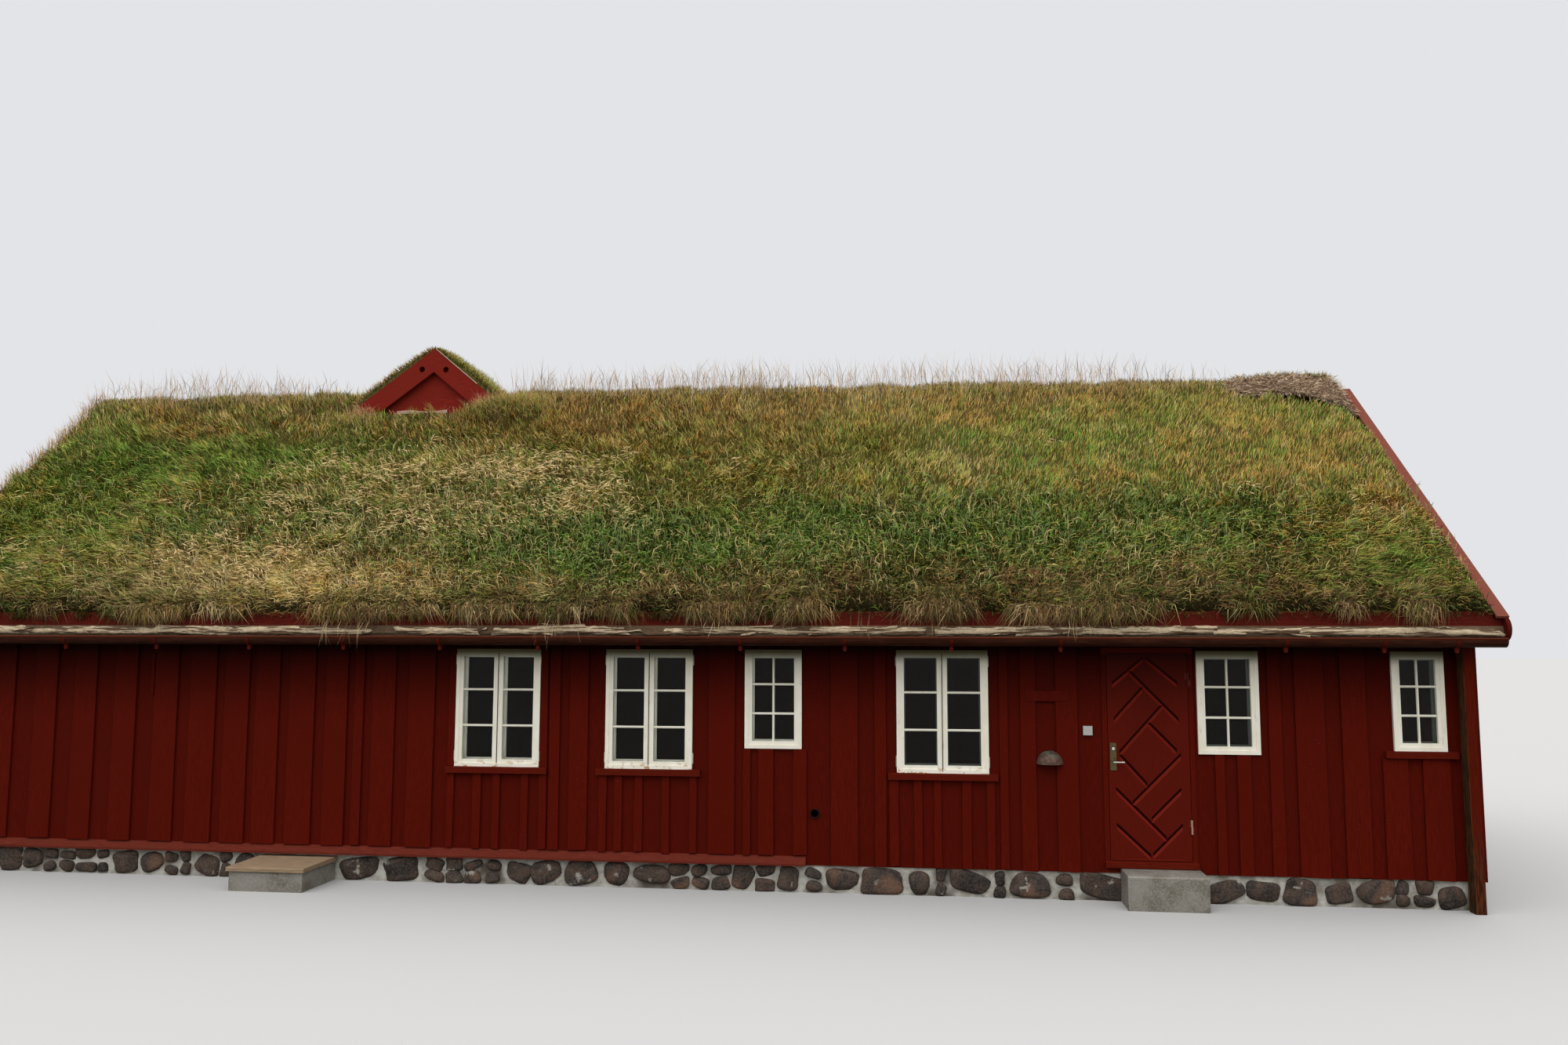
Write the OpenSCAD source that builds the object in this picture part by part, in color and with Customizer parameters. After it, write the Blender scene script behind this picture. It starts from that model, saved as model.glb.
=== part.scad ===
// Turf house: a long timber house on a rubble plinth under a turf roof.
// Millimetres. +X runs along the front wall to the right, +Y to the back, +Z up.
// The origin is on the ground, in the middle of the whole outline.

/* [House] */
// Length over the gable walls
house_len = 17480; // [17400:20:18600]
// Depth over the long walls
house_w = 7060; // [6800:20:7600]
// Wall thickness
wall_t = 200; // [160:5:240]
// Height of the long walls, measured on their outer face
wall_h = 2615; // [2580:5:2800]
// Roof pitch in degrees
roof_pitch = 38; // [34:0.5:42]

/* [Foundation] */
// Height of the rubble plinth above the lowest ground
plinth_h = 280; // [200:10:400]
// Thickness of the plinth
plinth_t = 400; // [320:10:500]
// How far the plinth stands back from the wall's outer face
plinth_setback = 20; // [0:5:40]
// Thickness of the timber floor
floor_t = 80; // [50:5:110]

/* [Cladding trim] */
// Width of a corner board
corner_board_w = 150; // [100:5:200]
// Thickness of a corner board
corner_board_t = 30; // [20:2:40]
// Width of a corner post
post_w = 100; // [80:5:140]
// Depth of a corner post
post_d = 140; // [100:5:180]
// Distance of a corner post's outer side from the end of the wall
post_in = 55; // [0:5:100]
// Height of the sloping board at the foot of the wall
base_board_h = 90; // [60:5:120]
// How far that board stands out from the wall
base_board_out = 75; // [45:5:100]
// Thickness of its outer edge
base_board_edge = 22; // [12:2:30]
// Where the front base board ends, to the right of the middle of the house
base_board_end_x = 2100; // [1500:50:4500]

/* [Windows] */
// Height of the window heads above the plinth
window_head = 2230; // [2100:10:2300]
// Width of a double window
double_w = 945; // [860:5:1000]
// Height of a double window
double_h = 1265; // [1100:5:1400]
// Width of a single window
single_w = 605; // [520:5:660]
// Height of a single window
single_h = 1035; // [900:5:1150]
// Width of the small window at the right corner
small_w = 495; // [440:5:520]
// Height of the small window
small_h = 980; // [850:5:1100]
// Middle of the first double window
window_1_x = -1260; // [-1400:10:-1100]
// Middle of the second double window
window_2_x = 415; // [300:10:500]
// Middle of the single window beside it
window_3_x = 1755; // [1600:10:1900]
// Middle of the third double window
window_4_x = 3525; // [3300:10:3650]
// Middle of the single window to the right of the door
window_5_x = 6390; // [6380:5:6700]
// Distance of the small window's middle from the wall's right corner
window_6_in = 525; // [520:5:740]
// Distance of the first window in the back wall from the left corner, as seen from the front
back_window_1_in = 1440; // [1240:20:1740]
// Distance of the second one from that corner
back_window_2_in = 3140; // [2940:20:3440]
// Middle of the third one
back_window_3_x = -2550; // [-3000:50:-2200]
// Middle of the single window in the back wall
back_window_4_x = -60; // [-400:10:400]
// Middle of the fourth double window in the back wall
back_window_5_x = 2100; // [1800:50:2800]
// Distance of the last window in the back wall from the right corner
back_window_6_in = 2840; // [2140:20:3340]
// Width of the window frame
frame_w = 40; // [30:2:55]
// Depth of the window frame
frame_d = 125; // [100:5:150]
// How far the frame stands out from the wall
frame_proud = 35; // [20:5:45]
// Width of the sash members
sash_w = 38; // [28:2:50]
// Thickness of the sashes
sash_t = 42; // [34:2:50]
// How far the sash face lies behind the frame face
sash_back = 8; // [4:2:14]
// Width of the inner sash, seen through the glass
inner_sash_w = 50; // [30:5:70]
// Thickness of the inner sash
inner_sash_t = 26; // [18:2:34]
// Thickness of the glass
glass_t = 4; // [3:1:8]
// Height of the window sills
sill_h = 68; // [40:1:90]
// How far a sill stands out from the wall
sill_out = 62; // [45:2:90]
// How far a sill runs past its window on each side
sill_side = 92; // [60:2:95]
// Fall of the sill's top towards the front
sill_fall = 8; // [0:1:20]

/* [Door] */
// Middle of the door leaf
door_x = 5600; // [5450:10:5650]
// Width of the door leaf
leaf_w = 800; // [720:10:840]
// Height of the door leaf
leaf_h = 2080; // [1960:10:2100]
// Thickness of the door leaf
leaf_t = 50; // [40:2:60]
// Gap round the leaf
leaf_gap = 5; // [5:0.5:8]
// Width of the door frame members
jamb_w = 50; // [40:2:52]
// Depth of the door frame
jamb_d = 120; // [100:5:160]
// How far the door frame stands out from the wall
jamb_proud = 15; // [5:1:25]
// Thickness of the stop that the leaf shuts in front of
stop_t = 14; // [10:1:20]
// Height of the threshold above the plinth
threshold_h = 120; // [100:5:150]
// Width of the V-grooves in the leaf
groove_w = 52; // [20:2:60]
// Depth of the V-grooves
groove_depth = 15; // [6:1:18]
// Height of the straight line above the leaf's foot
foot_line_up = 22; // [15:1:60]
// Radius of the hinge pins
pin_r = 5; // [4:0.5:6]
// Outer radius of the hinge knuckles
knuckle_r = 8.5; // [7.5:0.5:10]
// Length of one hinge knuckle
knuckle_len = 70; // [30:5:90]
// Height of the lower hinge above the leaf's foot
hinge_low = 270; // [150:10:500]
// Height of the upper hinge above the leaf's foot
hinge_high = 1740; // [1500:10:1850]
// Height of the lever above the leaf's foot
lever_z = 981; // [850:5:1100]
// Length of the lever
lever_len = 112; // [90:2:130]
// Thickness of the lever
lever_d = 18; // [14:1:22]
// Distance of the lever's spindle from the leaf's edge
backset = 45; // [35:1:60]
// Width of the lock plates
lock_plate_w = 62; // [40:2:68]
// Height of the lock plates
lock_plate_h = 276; // [200:2:300]
// Thickness of the lock plates
lock_plate_t = 8; // [4:1:10]
// Height of the lock cylinder above the lever
lock_above = 132; // [90:2:150]

/* [Step and hatch] */
// Middle of the door step
step_x = 5680; // [5550:10:5750]
// Width of the door step
step_w = 770; // [650:10:900]
// Depth of the door step
step_d = 430; // [300:10:600]
// Height of the door step
step_h = 330; // [290:5:360]
// Middle of the cellar hatch
hatch_x = -3480; // [-4200:10:-2800]
// Width of the hatch lid
hatch_w = 860; // [700:10:1000]
// Depth of the hatch lid
hatch_d = 720; // [500:10:900]
// Height of the curb under the lid
curb_h = 205; // [120:5:220]
// Thickness of the curb
curb_t = 100; // [70:5:140]
// How far the lid runs past the curb
lid_over = 25; // [10:5:50]
// Thickness of the lid
lid_t = 48; // [30:2:60]

/* [Roof] */
// How far the roof boards run past the long walls
eaves_over = 320; // [250:10:400]
// How far the roof boards run past the gable walls
verge_over = 160; // [100:10:220]
// Thickness of the roof boards
deck_t = 45; // [30:1:60]
// Thickness of the birch bark under the turf
bark_t = 10; // [6:1:16]
// Thickness of the bark that hangs over the eaves
bark_lip_t = 30; // [16:2:36]
// How far the hanging bark reaches below the top of the roof boards
bark_lip_down = 56; // [40:2:60]
// How far it stands up in front of the turf board
bark_lip_up = 60; // [30:5:90]
// Thickness of the board that holds the turf at the eaves
turf_board_t = 40; // [25:1:55]
// Height of that board
turf_board_h = 160; // [130:5:170]
// Thickness of the turf, square to the roof
turf_t = 225; // [200:5:280]
// How much thicker the turf is along the ridge
turf_crown = 80; // [40:5:110]
// How far down the slope the thicker turf runs
turf_crown_w = 1500; // [1200:50:1800]
// How much the turf swells lower down the slope
turf_belly = 15; // [0:5:40]
// Distance of that swelling from the ridge
turf_belly_y = 2600; // [2200:50:3000]
// How far the turf's nose stands out past the eaves board
turf_nose_out = 18; // [12:1:28]
// Height of the turf's nose over that board
turf_nose_h = 92; // [60:2:120]
// How far in from the right verge the turf begins to thin
turf_thin_w = 800; // [500:20:1200]
// Width of a verge board
barge_w = 240; // [200:5:300]
// Thickness of a verge board
barge_t = 40; // [25:1:55]
// How far a verge board reaches below the roof boards
barge_down = 55; // [30:5:90]
// Width of the cap on the verge
cap_w = 115; // [100:5:160]
// Thickness of the cap
cap_t = 25; // [20:1:40]
// How far the cap runs past the roof boards at the eaves
cap_out = 55; // [20:5:90]
// Spacing of the rafters and tie beams
truss_pitch = 2100; // [1800:50:2400]
// Width of rafters and tie beams
rafter_w = 100; // [70:5:130]
// Depth of the rafters
rafter_d = 150; // [120:5:180]
// Depth of the tie beams
tie_d = 150; // [120:5:180]
// Height of the seat cut in a rafter's foot
seat_cut = 60; // [40:5:80]
// Height of the ledger that carries the tie beams
ledger_h = 120; // [90:5:150]
// Thickness of the ledger
ledger_t = 60; // [40:5:80]

/* [Gutters] */
// Outer radius of the half-round gutter
gutter_r = 65; // [50:1:75]
// Height of the straight lips above the half round
gutter_lip = 20; // [10:1:30]
// Thickness of the gutter metal
gutter_t = 3; // [2:0.5:5]
// Radius of the bead along the front lip
bead_r = 8; // [5:0.5:10]
// Gap between the roof boards' edge and the gutter
gutter_gap = 12; // [8:1:25]
// Height of the gutter's rim below the top of the roof boards
gutter_drop = 62; // [60:1:80]
// Spacing of the gutter hooks
hook_pitch = 1080; // [900:10:1200]
// Middle of the gutter hook that lies nearest to the middle of the house
hook_x = 380; // [200:10:400]
// Distance of the last gutter hook from the corner post
hook_end = 145; // [100:5:200]
// Spacing of the last two gutter hooks
hook_end_gap = 665; // [600:5:800]
// Width of a gutter hook
hook_w = 36; // [20:2:50]
// Thickness of a gutter hook
hook_t = 6; // [4:0.5:8]
// How far the knob on a hook hangs below the gutter
knob_down = 50; // [30:2:54]

/* [Ridge gable] */
// Middle of the small gable on the ridge
gablet_x = -3490; // [-5000:10:-2000]
// How far the small gable has sunk to one side, in degrees
gablet_lean = 2; // [0:0.5:3]
// Half the width of the small gable
gablet_half_w = 1080; // [900:10:1250]
// Height of its peak above the ridge of the roof boards
gablet_rise = 980; // [900:10:1050]
// Distance from the ridge to its face
gablet_half_d = 450; // [400:10:600]
// Width of its barge boards
gablet_barge_w = 265; // [180:5:280]
// Thickness of its barge boards
gablet_barge_t = 30; // [20:1:45]
// How far its walls stand behind the barge boards
gablet_recess = 55; // [30:5:90]
// Thickness of its walls
gablet_wall_t = 30; // [20:1:45]
// Thickness of its roof boards
gablet_deck_t = 30; // [20:1:45]
// How far the barge boards stand up above its roof boards
gablet_upstand = 45; // [25:1:60]
// Thickness of the turf on it
gablet_turf_t = 120; // [90:5:160]
// Radius of the round holes in its barge boards
gablet_hole_r = 42; // [25:1:55]
// Distance of those holes from the middle
gablet_hole_x = 175; // [120:5:220]

/* [Fittings] */
// Middle of the wall lamp
lamp_x = 4613; // [4550:1:4650]
// Height of the lamp's lower edge
lamp_z = 1355; // [1300:5:1500]
// Radius of the lamp's half dome
lamp_r = 135; // [100:5:150]
// Thickness of the lamp's shell
lamp_t = 6; // [4:1:10]
// Middle of the bell box
bell_x = 4998; // [4960:1:5040]
// Height of the bell box's middle
bell_z = 1698; // [1600:2:1800]
// Side of the bell box
bell_s = 92; // [70:2:110]
// Depth of the bell box
bell_d = 34; // [20:2:45]
// Middle of the name board
board_x = 4598; // [4500:1:4650]
// Height of the name board's middle
board_z = 2045; // [1950:5:2150]
// Length of the name board
board_w = 440; // [300:10:500]
// Height of the name board
board_h = 104; // [70:2:130]
// Thickness of the name board
board_t = 34; // [30:1:40]
// Position of the vent sleeve along the wall
vent_x = 2195; // [2150:5:2300]
// Height of the vent sleeve
vent_z = 814; // [700:5:900]
// Outer radius of the vent sleeve
vent_r = 45; // [30:1:60]
// Wall of the vent sleeve
vent_t = 5; // [3:0.5:8]
// How far the vent sleeve stands out from the wall
vent_proud = 32; // [28:1:45]

/* [Hidden] */
$fn = 48;

// Plan sizes
half_len = house_len / 2;
half_w = house_w / 2;
inner_w = half_w - wall_t;
inner_len = half_len - wall_t;
wall_foot = plinth_h;
plinth_face = half_w - plinth_setback;
post_x = half_len - post_in - post_w;
trim_x = min(post_x, half_len - corner_board_w + corner_board_t);

// Roof geometry, seen in the section across the house
deck_reach = half_w + eaves_over;
deck_half_len = half_len + verge_over;
deck_edge_z = wall_foot + wall_h + deck_t / cos(roof_pitch) - eaves_over * tan(roof_pitch);
function roof_z(y, n) = deck_edge_z + (deck_reach - abs(y)) * tan(roof_pitch) + n / cos(roof_pitch);
ridge_z = roof_z(0, 0);
function wall_top_z(y) = roof_z(y, -deck_t) - seat_gap;

// The eaves
gutter_rim_z = deck_edge_z - gutter_drop;
gutter_y = deck_reach + gutter_gap + gutter_r;
gutter_reach = gutter_y + gutter_r - gutter_t / 2 + bead_r;
turf_board_foot = roof_z(deck_reach - turf_board_t, bark_t);
turf_board_top = turf_board_foot + turf_board_h;
cap_n = barge_w - deck_t - barge_down;
verge_face = deck_half_len + barge_t;

// The outline is centred on the origin, with the hatch in front and the gutter behind
hatch_reach = plinth_face + hatch_d;
front_reach = max(hatch_reach, gutter_reach);
ridge_y = (front_reach - gutter_reach) / 2;

// Heights at the door
leaf_foot_z = wall_foot + threshold_h + leaf_gap + 1;
leaf_head_z = leaf_foot_z + leaf_h;
doorway_w = leaf_w + 2 * (leaf_gap + jamb_w);
doorway_head_z = leaf_head_z + leaf_gap + jamb_w;
doorway_left = door_x - doorway_w / 2;
doorway_right = door_x + doorway_w / 2;
leaf_left = door_x - leaf_w / 2;
leaf_right = door_x + leaf_w / 2;
leaf_face = -half_w - jamb_proud;
hinge_x = leaf_right + leaf_gap / 2;
knuckle_gap = 0.5;
hinge_y = leaf_face - knuckle_r - knuckle_gap;
hinge_plate_t = 3;
hinge_plate_w = 30;
pin_clearance = 0.05;
pin_short = 4;
spindle_x = leaf_left + backset;
spindle_z = leaf_foot_z + lever_z;
spindle_r = 8;
spindle_clearance = 0.6;
lever_out = 44;
lock_plate_down = 86;
lock_plate_shift = 2;
lock_knob_r = 16;
lock_knob_t = 16;
lock_knob_round = 3;
threshold_nose = 60;
threshold_round = 14;
threshold_clear = 8;

leaf_stile_w = 80;
foot_line_w = 10;

// The grooves in the door leaf, from the leaf's lower left corner: [x, z, length, angle]
leaf_grooves = [
    [365, 2020, 410, 220], [395, 2020, 395, -40],
    [225, 1890, 690, -46], [355, 1720, 440, 228],
    [545, 1545, 650, 228], [400, 1372, 400, -46],
    [108, 1045, 405, -48], [715, 1045, 685, 225],
    [66, 700, 690, -45], [710, 700, 425, 225],
    [715, 346, 425, 225], [68, 340, 450, -43]
];

window_head_z = wall_foot + window_head;
front_list = [
    [window_1_x, double_w, double_h, 2, true],
    [window_2_x, double_w, double_h, 2, true],
    [window_3_x, single_w, single_h, 1, false],
    [window_4_x, double_w, double_h, 2, true],
    [window_5_x, single_w, single_h, 1, false],
    [half_len - window_6_in, small_w, small_h, 1, true]
];
back_list = [
    [back_window_1_in - half_len, double_w, double_h, 2, true],
    [back_window_2_in - half_len, double_w, double_h, 2, true],
    [back_window_3_x, double_w, double_h, 2, true],
    [back_window_4_x, single_w, single_h, 1, false],
    [back_window_5_x, double_w, double_h, 2, true],
    [half_len - back_window_6_in, double_w, double_h, 2, true]
];
gable_list = [[0, double_w, double_h, 2, true]];
mullion_w = 30;
glass_set = 6;
sill_drip = 12;
step_round = 15;
lid_fall = 6;
lid_round = 8;

truss_count = 2 * floor((inner_len - rafter_w) / truss_pitch) + 1;
truss_first = -floor((inner_len - rafter_w) / truss_pitch) * truss_pitch;
tie_top_z = roof_z(inner_w, -deck_t - rafter_d) + seat_cut;
ridge_gap = 3;
seat_gap = 0.02;
gutter_end = 10;
nose_back = 10;
hook_arm = 150;
hook_knob_l = 30;
bark_round = 12;

// The turf's nose over the eaves board: [how far further out, share of the nose's height]
turf_nose = [[0, 0], [6, 0.43], [-16, 1]];
// The turf near the ridge: [share of the crown's width, share of its extra thickness]
turf_crown_steps = [[1, 0], [0.467, 0.275], [0.233, 0.56], [0.087, 0.925]];

hook_end_x = post_x - hook_end;
hook_first = -floor((hook_end_x + hook_x) / hook_pitch);
hook_late_x = hook_end_x - hook_end_gap;
hook_last = floor((hook_late_x - hook_pitch / 2 - hook_x) / hook_pitch);

gablet_peak_z = ridge_z + gablet_rise;
function gablet_z(x, n) = gablet_peak_z - abs(x) * tan(roof_pitch) + n / cos(roof_pitch);
gablet_wall_in = 80;
gablet_wall_half_w = gablet_half_w - gablet_wall_in;
gablet_wall_y = gablet_half_d - gablet_barge_t - gablet_recess;
gablet_clear = 10;
gablet_foot_down = 100;
gablet_turf_round = 60;
gablet_turf_bulge = 8;

red = [0.32, 0.05, 0.04];
deep_red = [0.22, 0.03, 0.03];
light_red = [0.45, 0.1, 0.09];
white = [0.86, 0.85, 0.8];
timber = [0.55, 0.42, 0.28];
stone = [0.42, 0.38, 0.34];
concrete = [0.45, 0.43, 0.4];
bark_colour = [0.62, 0.54, 0.43];
turf_colour = [0.33, 0.33, 0.12];
steel = [0.62, 0.6, 0.55];
brass = [0.62, 0.55, 0.38];
glass_colour = [0.1, 0.12, 0.12, 0.5];
lamp_colour = [0.2, 0.14, 0.1];
plastic = [0.7, 0.7, 0.68];
vent_colour = [0.08, 0.07, 0.07];

// Placing: the front half is drawn with the ridge at y = 0 and the front at negative y
module front_half() { translate([0, ridge_y, 0]) children(); }
module back_half() { translate([0, ridge_y, 0]) mirror([0, 1, 0]) children(); }
module right_gable() { translate([half_len, ridge_y, 0]) rotate([0, 0, 90]) children(); }
module left_gable() { translate([-half_len, ridge_y, 0]) rotate([0, 0, -90]) children(); }
module on_front_wall() { front_half() translate([0, -half_w, 0]) children(); }
module on_back_wall() { back_half() translate([0, -half_w, 0]) children(); }

// An outline in the section across the house, given as [y, z], drawn from x0 to x1
module run_x(x0, x1) {
    translate([x0, 0, 0]) rotate([90, 0, 90]) linear_extrude(x1 - x0) children();
}

// An outline in the plane of the front, given as [x, z], drawn from y0 to y1
module run_y(y0, y1) {
    translate([0, y1, 0]) rotate([90, 0, 0]) linear_extrude(y1 - y0) children();
}

module block(x0, x1, y0, y1, z0, z1) {
    translate([x0, y0, z0]) cube([x1 - x0, y1 - y0, z1 - z0]);
}

// Foundation
module plinth_run(len) {
    block(-len / 2, len / 2, -plinth_face, -plinth_face + plinth_t, 0, plinth_h);
}

module plinth_long_walls() {
    color(stone) {
        front_half() plinth_run(house_len - 2 * plinth_setback);
        back_half() plinth_run(house_len - 2 * plinth_setback);
    }
}

module plinth_gable_walls() {
    gable_half = plinth_face - plinth_t;
    outer = half_len - plinth_setback;
    color(stone) translate([0, ridge_y, 0]) {
        block(outer - plinth_t, outer, -gable_half, gable_half, 0, plinth_h);
        block(-outer, -outer + plinth_t, -gable_half, gable_half, 0, plinth_h);
    }
}

module floor_boards() {
    color(timber) translate([0, ridge_y, 0])
        block(-inner_len, inner_len, -inner_w, inner_w, plinth_h, plinth_h + floor_t);
}

module door_step() {
    color(concrete) front_half() run_x(step_x - step_w / 2, step_x + step_w / 2) polygon([
        [-plinth_face, 0], [-plinth_face, plinth_h], [-half_w, plinth_h], [-half_w, step_h],
        [-half_w - step_d + step_round, step_h], [-half_w - step_d, step_h - step_round],
        [-half_w - step_d, 0]
    ]);
}

module hatch_curb() {
    x0 = hatch_x - hatch_w / 2 + lid_over;
    x1 = hatch_x + hatch_w / 2 - lid_over;
    y0 = -hatch_reach + lid_over;
    color(concrete) front_half() difference() {
        block(x0, x1, y0, -plinth_face, 0, curb_h);
        block(x0 + curb_t, x1 - curb_t, y0 + curb_t, -plinth_face + 1, -1, curb_h + 1);
    }
}

module hatch_lid() {
    color(timber) front_half() translate([hatch_x, 0, curb_h]) run_x(-hatch_w / 2, hatch_w / 2) polygon([
        [-plinth_face, 0], [-hatch_reach, 0], [-hatch_reach, lid_t - lid_fall - lid_round],
        [-hatch_reach + lid_round, lid_t - lid_fall], [-plinth_face, lid_t]
    ]);
}

// Walls
module long_wall_outline() {
    polygon([
        [-half_w, wall_foot], [-inner_w, wall_foot],
        [-inner_w, wall_top_z(inner_w)], [-half_w, wall_top_z(half_w)]
    ]);
}

module window_holes(list) {
    for (window = list)
        translate([window[0], 0, window_head_z - window[2]])
            block(-window[1] / 2, window[1] / 2, -1, wall_t + 1, 0, window[2]);
}

module front_wall_left() {
    color(red) difference() {
        front_half() run_x(-half_len, doorway_left) long_wall_outline();
        on_front_wall() {
            window_holes([for (i = [0:3]) front_list[i]]);
            translate([vent_x, -1, vent_z]) rotate([-90, 0, 0]) cylinder(r = vent_r, h = wall_t + 2);
        }
    }
}

module front_wall_over_door() {
    color(red) intersection() {
        front_half() run_x(doorway_left, doorway_right) long_wall_outline();
        front_half() block(doorway_left, doorway_right, -half_w, -inner_w, doorway_head_z, ridge_z);
    }
}

module front_wall_right() {
    color(red) difference() {
        front_half() run_x(doorway_right, half_len) long_wall_outline();
        on_front_wall() window_holes([for (i = [4:5]) front_list[i]]);
    }
}

module back_wall() {
    color(red) difference() {
        back_half() run_x(-half_len, half_len) long_wall_outline();
        on_back_wall() window_holes(back_list);
    }
}

module gable_wall() {
    difference() {
        run_y(0, wall_t) polygon([
            [-inner_w, wall_foot], [inner_w, wall_foot], [inner_w, wall_top_z(inner_w)],
            [0, wall_top_z(0)], [-inner_w, wall_top_z(inner_w)]
        ]);
        window_holes(gable_list);
    }
}

module left_gable_wall() { color(red) left_gable() gable_wall(); }
module right_gable_wall() { color(red) right_gable() gable_wall(); }

module corner_board_pair(side) {
    top = roof_z(half_w + corner_board_t, -deck_t);
    t = corner_board_t;
    translate([side * half_len, -half_w, wall_foot]) mirror([side < 0 ? 1 : 0, 0, 0])
        linear_extrude(top - wall_foot) polygon([
            [t, -t], [t, corner_board_w - t], [0, corner_board_w - t], [0, 0],
            [t - corner_board_w, 0], [t - corner_board_w, -t]
        ]);
}

module corner_boards() {
    color(red) {
        front_half() { corner_board_pair(-1); corner_board_pair(1); }
        back_half() { corner_board_pair(-1); corner_board_pair(1); }
    }
}

// A post in front of the corner boards, from the ground to the underside of the roof boards
module corner_post() {
    inner = half_w + corner_board_t;
    outer = inner + post_d;
    run_x(post_x, post_x + post_w)
        polygon([[-outer, 0], [-inner, 0], [-inner, wall_top_z(inner)], [-outer, wall_top_z(outer)]]);
}

module corner_posts() {
    color(red) for (side = [0, 1]) mirror([side, 0, 0]) {
        front_half() corner_post();
        back_half() corner_post();
    }
}

// The drip board at the foot of a wall whose face is at y = 0
module base_board(x0, x1) {
    run_x(x0, x1) polygon([
        [0, wall_foot], [-base_board_out, wall_foot], [-base_board_out, wall_foot + base_board_edge],
        [0, wall_foot + base_board_h]
    ]);
}

module base_boards() {
    end_y = half_w - corner_board_w + corner_board_t;
    color(light_red) {
        on_front_wall() base_board(-trim_x, base_board_end_x);
        on_back_wall() base_board(-trim_x, trim_x);
        left_gable() base_board(-end_y, end_y);
        right_gable() base_board(-end_y, end_y);
    }
}

// Windows: the wall face is at y = 0, the foot of the frame at z = 0
module ring(x0, x1, z0, z1, w, y0, y1) {
    difference() {
        block(x0, x1, y0, y1, z0, z1);
        block(x0 + w, x1 - w, y0 - 1, y1 + 1, z0 + w, z1 - w);
    }
}

function light_w(window) = (window[1] - 2 * frame_w - (window[3] - 1) * mullion_w) / window[3];
function light_x(window, i) = -window[1] / 2 + frame_w + i * (light_w(window) + mullion_w);

module window_frame(window) {
    w = window[1];
    h = window[2];
    sash_y = -frame_proud + sash_back;
    inner_y = frame_d - frame_proud;
    ring(-w / 2, w / 2, 0, h, frame_w, -frame_proud, inner_y);
    if (window[3] == 2) block(-mullion_w / 2, mullion_w / 2, sash_y, inner_y, frame_w, h - frame_w);
    for (i = [0:window[3] - 1]) translate([light_x(window, i), 0, 0]) {
        ring(0, light_w(window), frame_w, h - frame_w, sash_w, sash_y, sash_y + sash_t);
        ring(0, light_w(window), frame_w, h - frame_w, inner_sash_w, inner_y - inner_sash_t, inner_y);
    }
}

module window_panes(window) {
    y0 = -frame_proud + sash_back + sash_t - glass_set - glass_t;
    edge = frame_w + sash_w;
    for (i = [0:window[3] - 1]) translate([light_x(window, i), 0, 0])
        block(sash_w, light_w(window) - sash_w, y0, y0 + glass_t, edge, window[2] - edge);
}

module window_sill(window) {
    if (window[4]) {
        side = min(sill_side, trim_x - window[0] - window[1] / 2);
        run_x(-window[1] / 2 - sill_side, window[1] / 2 + side) polygon([
            [0, 0], [-frame_proud, 0], [-sill_out, -sill_fall], [-sill_out, -sill_h],
            [-sill_out + sill_drip, -sill_h], [0, -sill_h]
        ]);
    }
}

module windows(list, part) {
    for (window = list) translate([window[0], 0, window_head_z - window[2]]) {
        if (part == "frame") window_frame(window);
        if (part == "glass") window_panes(window);
        if (part == "sill") window_sill(window);
    }
}

module front_windows() { color(white) on_front_wall() windows(front_list, "frame"); }
module back_windows() { color(white) on_back_wall() windows(back_list, "frame"); }

module gable_windows() {
    color(white) {
        left_gable() windows(gable_list, "frame");
        right_gable() windows(gable_list, "frame");
    }
}

module window_glass() {
    color(glass_colour) {
        on_front_wall() windows(front_list, "glass");
        on_back_wall() windows(back_list, "glass");
        left_gable() windows(gable_list, "glass");
        right_gable() windows(gable_list, "glass");
    }
}

module window_sills() {
    color(red) {
        on_front_wall() windows(front_list, "sill");
        on_back_wall() windows(back_list, "sill");
        left_gable() windows(gable_list, "sill");
        right_gable() windows(gable_list, "sill");
    }
}

// Door
// The rebated frame members: the leaf shuts in front of the stops
module door_rebate() {
    foot = wall_foot + threshold_h;
    difference() {
        block(doorway_left, doorway_right, leaf_face, leaf_face + jamb_d, foot, doorway_head_z);
        block(
            leaf_left - leaf_gap, leaf_right + leaf_gap, leaf_face - 1, leaf_face + leaf_t + leaf_gap,
            foot - 1, leaf_head_z + leaf_gap
        );
        block(
            leaf_left - leaf_gap + stop_t, leaf_right + leaf_gap - stop_t, leaf_face, leaf_face + jamb_d + 1,
            foot - 1, leaf_head_z + leaf_gap - stop_t
        );
    }
}

// The head sits on the jambs at the level of the rebate's top
module door_head_space() {
    rebate_top = leaf_head_z + leaf_gap - stop_t;
    block(doorway_left - 1, doorway_right + 1, -half_w - jamb_d, 0, rebate_top, ridge_z);
}

module door_jambs() {
    color(red) front_half() difference() {
        door_rebate();
        door_head_space();
    }
}

module door_head() {
    color(red) front_half() intersection() {
        door_rebate();
        door_head_space();
    }
}

module threshold() {
    top = wall_foot + threshold_h;
    nose_y = half_w + threshold_nose;
    color(deep_red) front_half() run_x(doorway_left, doorway_right) polygon([
        [-inner_w, wall_foot], [-half_w, wall_foot], [-half_w, step_h + threshold_clear],
        [-nose_y, step_h + threshold_clear], [-nose_y, top - threshold_round],
        [-half_w - threshold_nose / 3, top], [-inner_w, top]
    ]);
}

module hinge_bodies(z, plate_side) {
    plate_x = hinge_x + plate_side * hinge_plate_w;
    translate([hinge_x, hinge_y, z]) cylinder(r = knuckle_r, h = knuckle_len);
    block(
        min(hinge_x, plate_x), max(hinge_x, plate_x),
        leaf_face - hinge_plate_t, leaf_face, z, z + knuckle_len
    );
}

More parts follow.
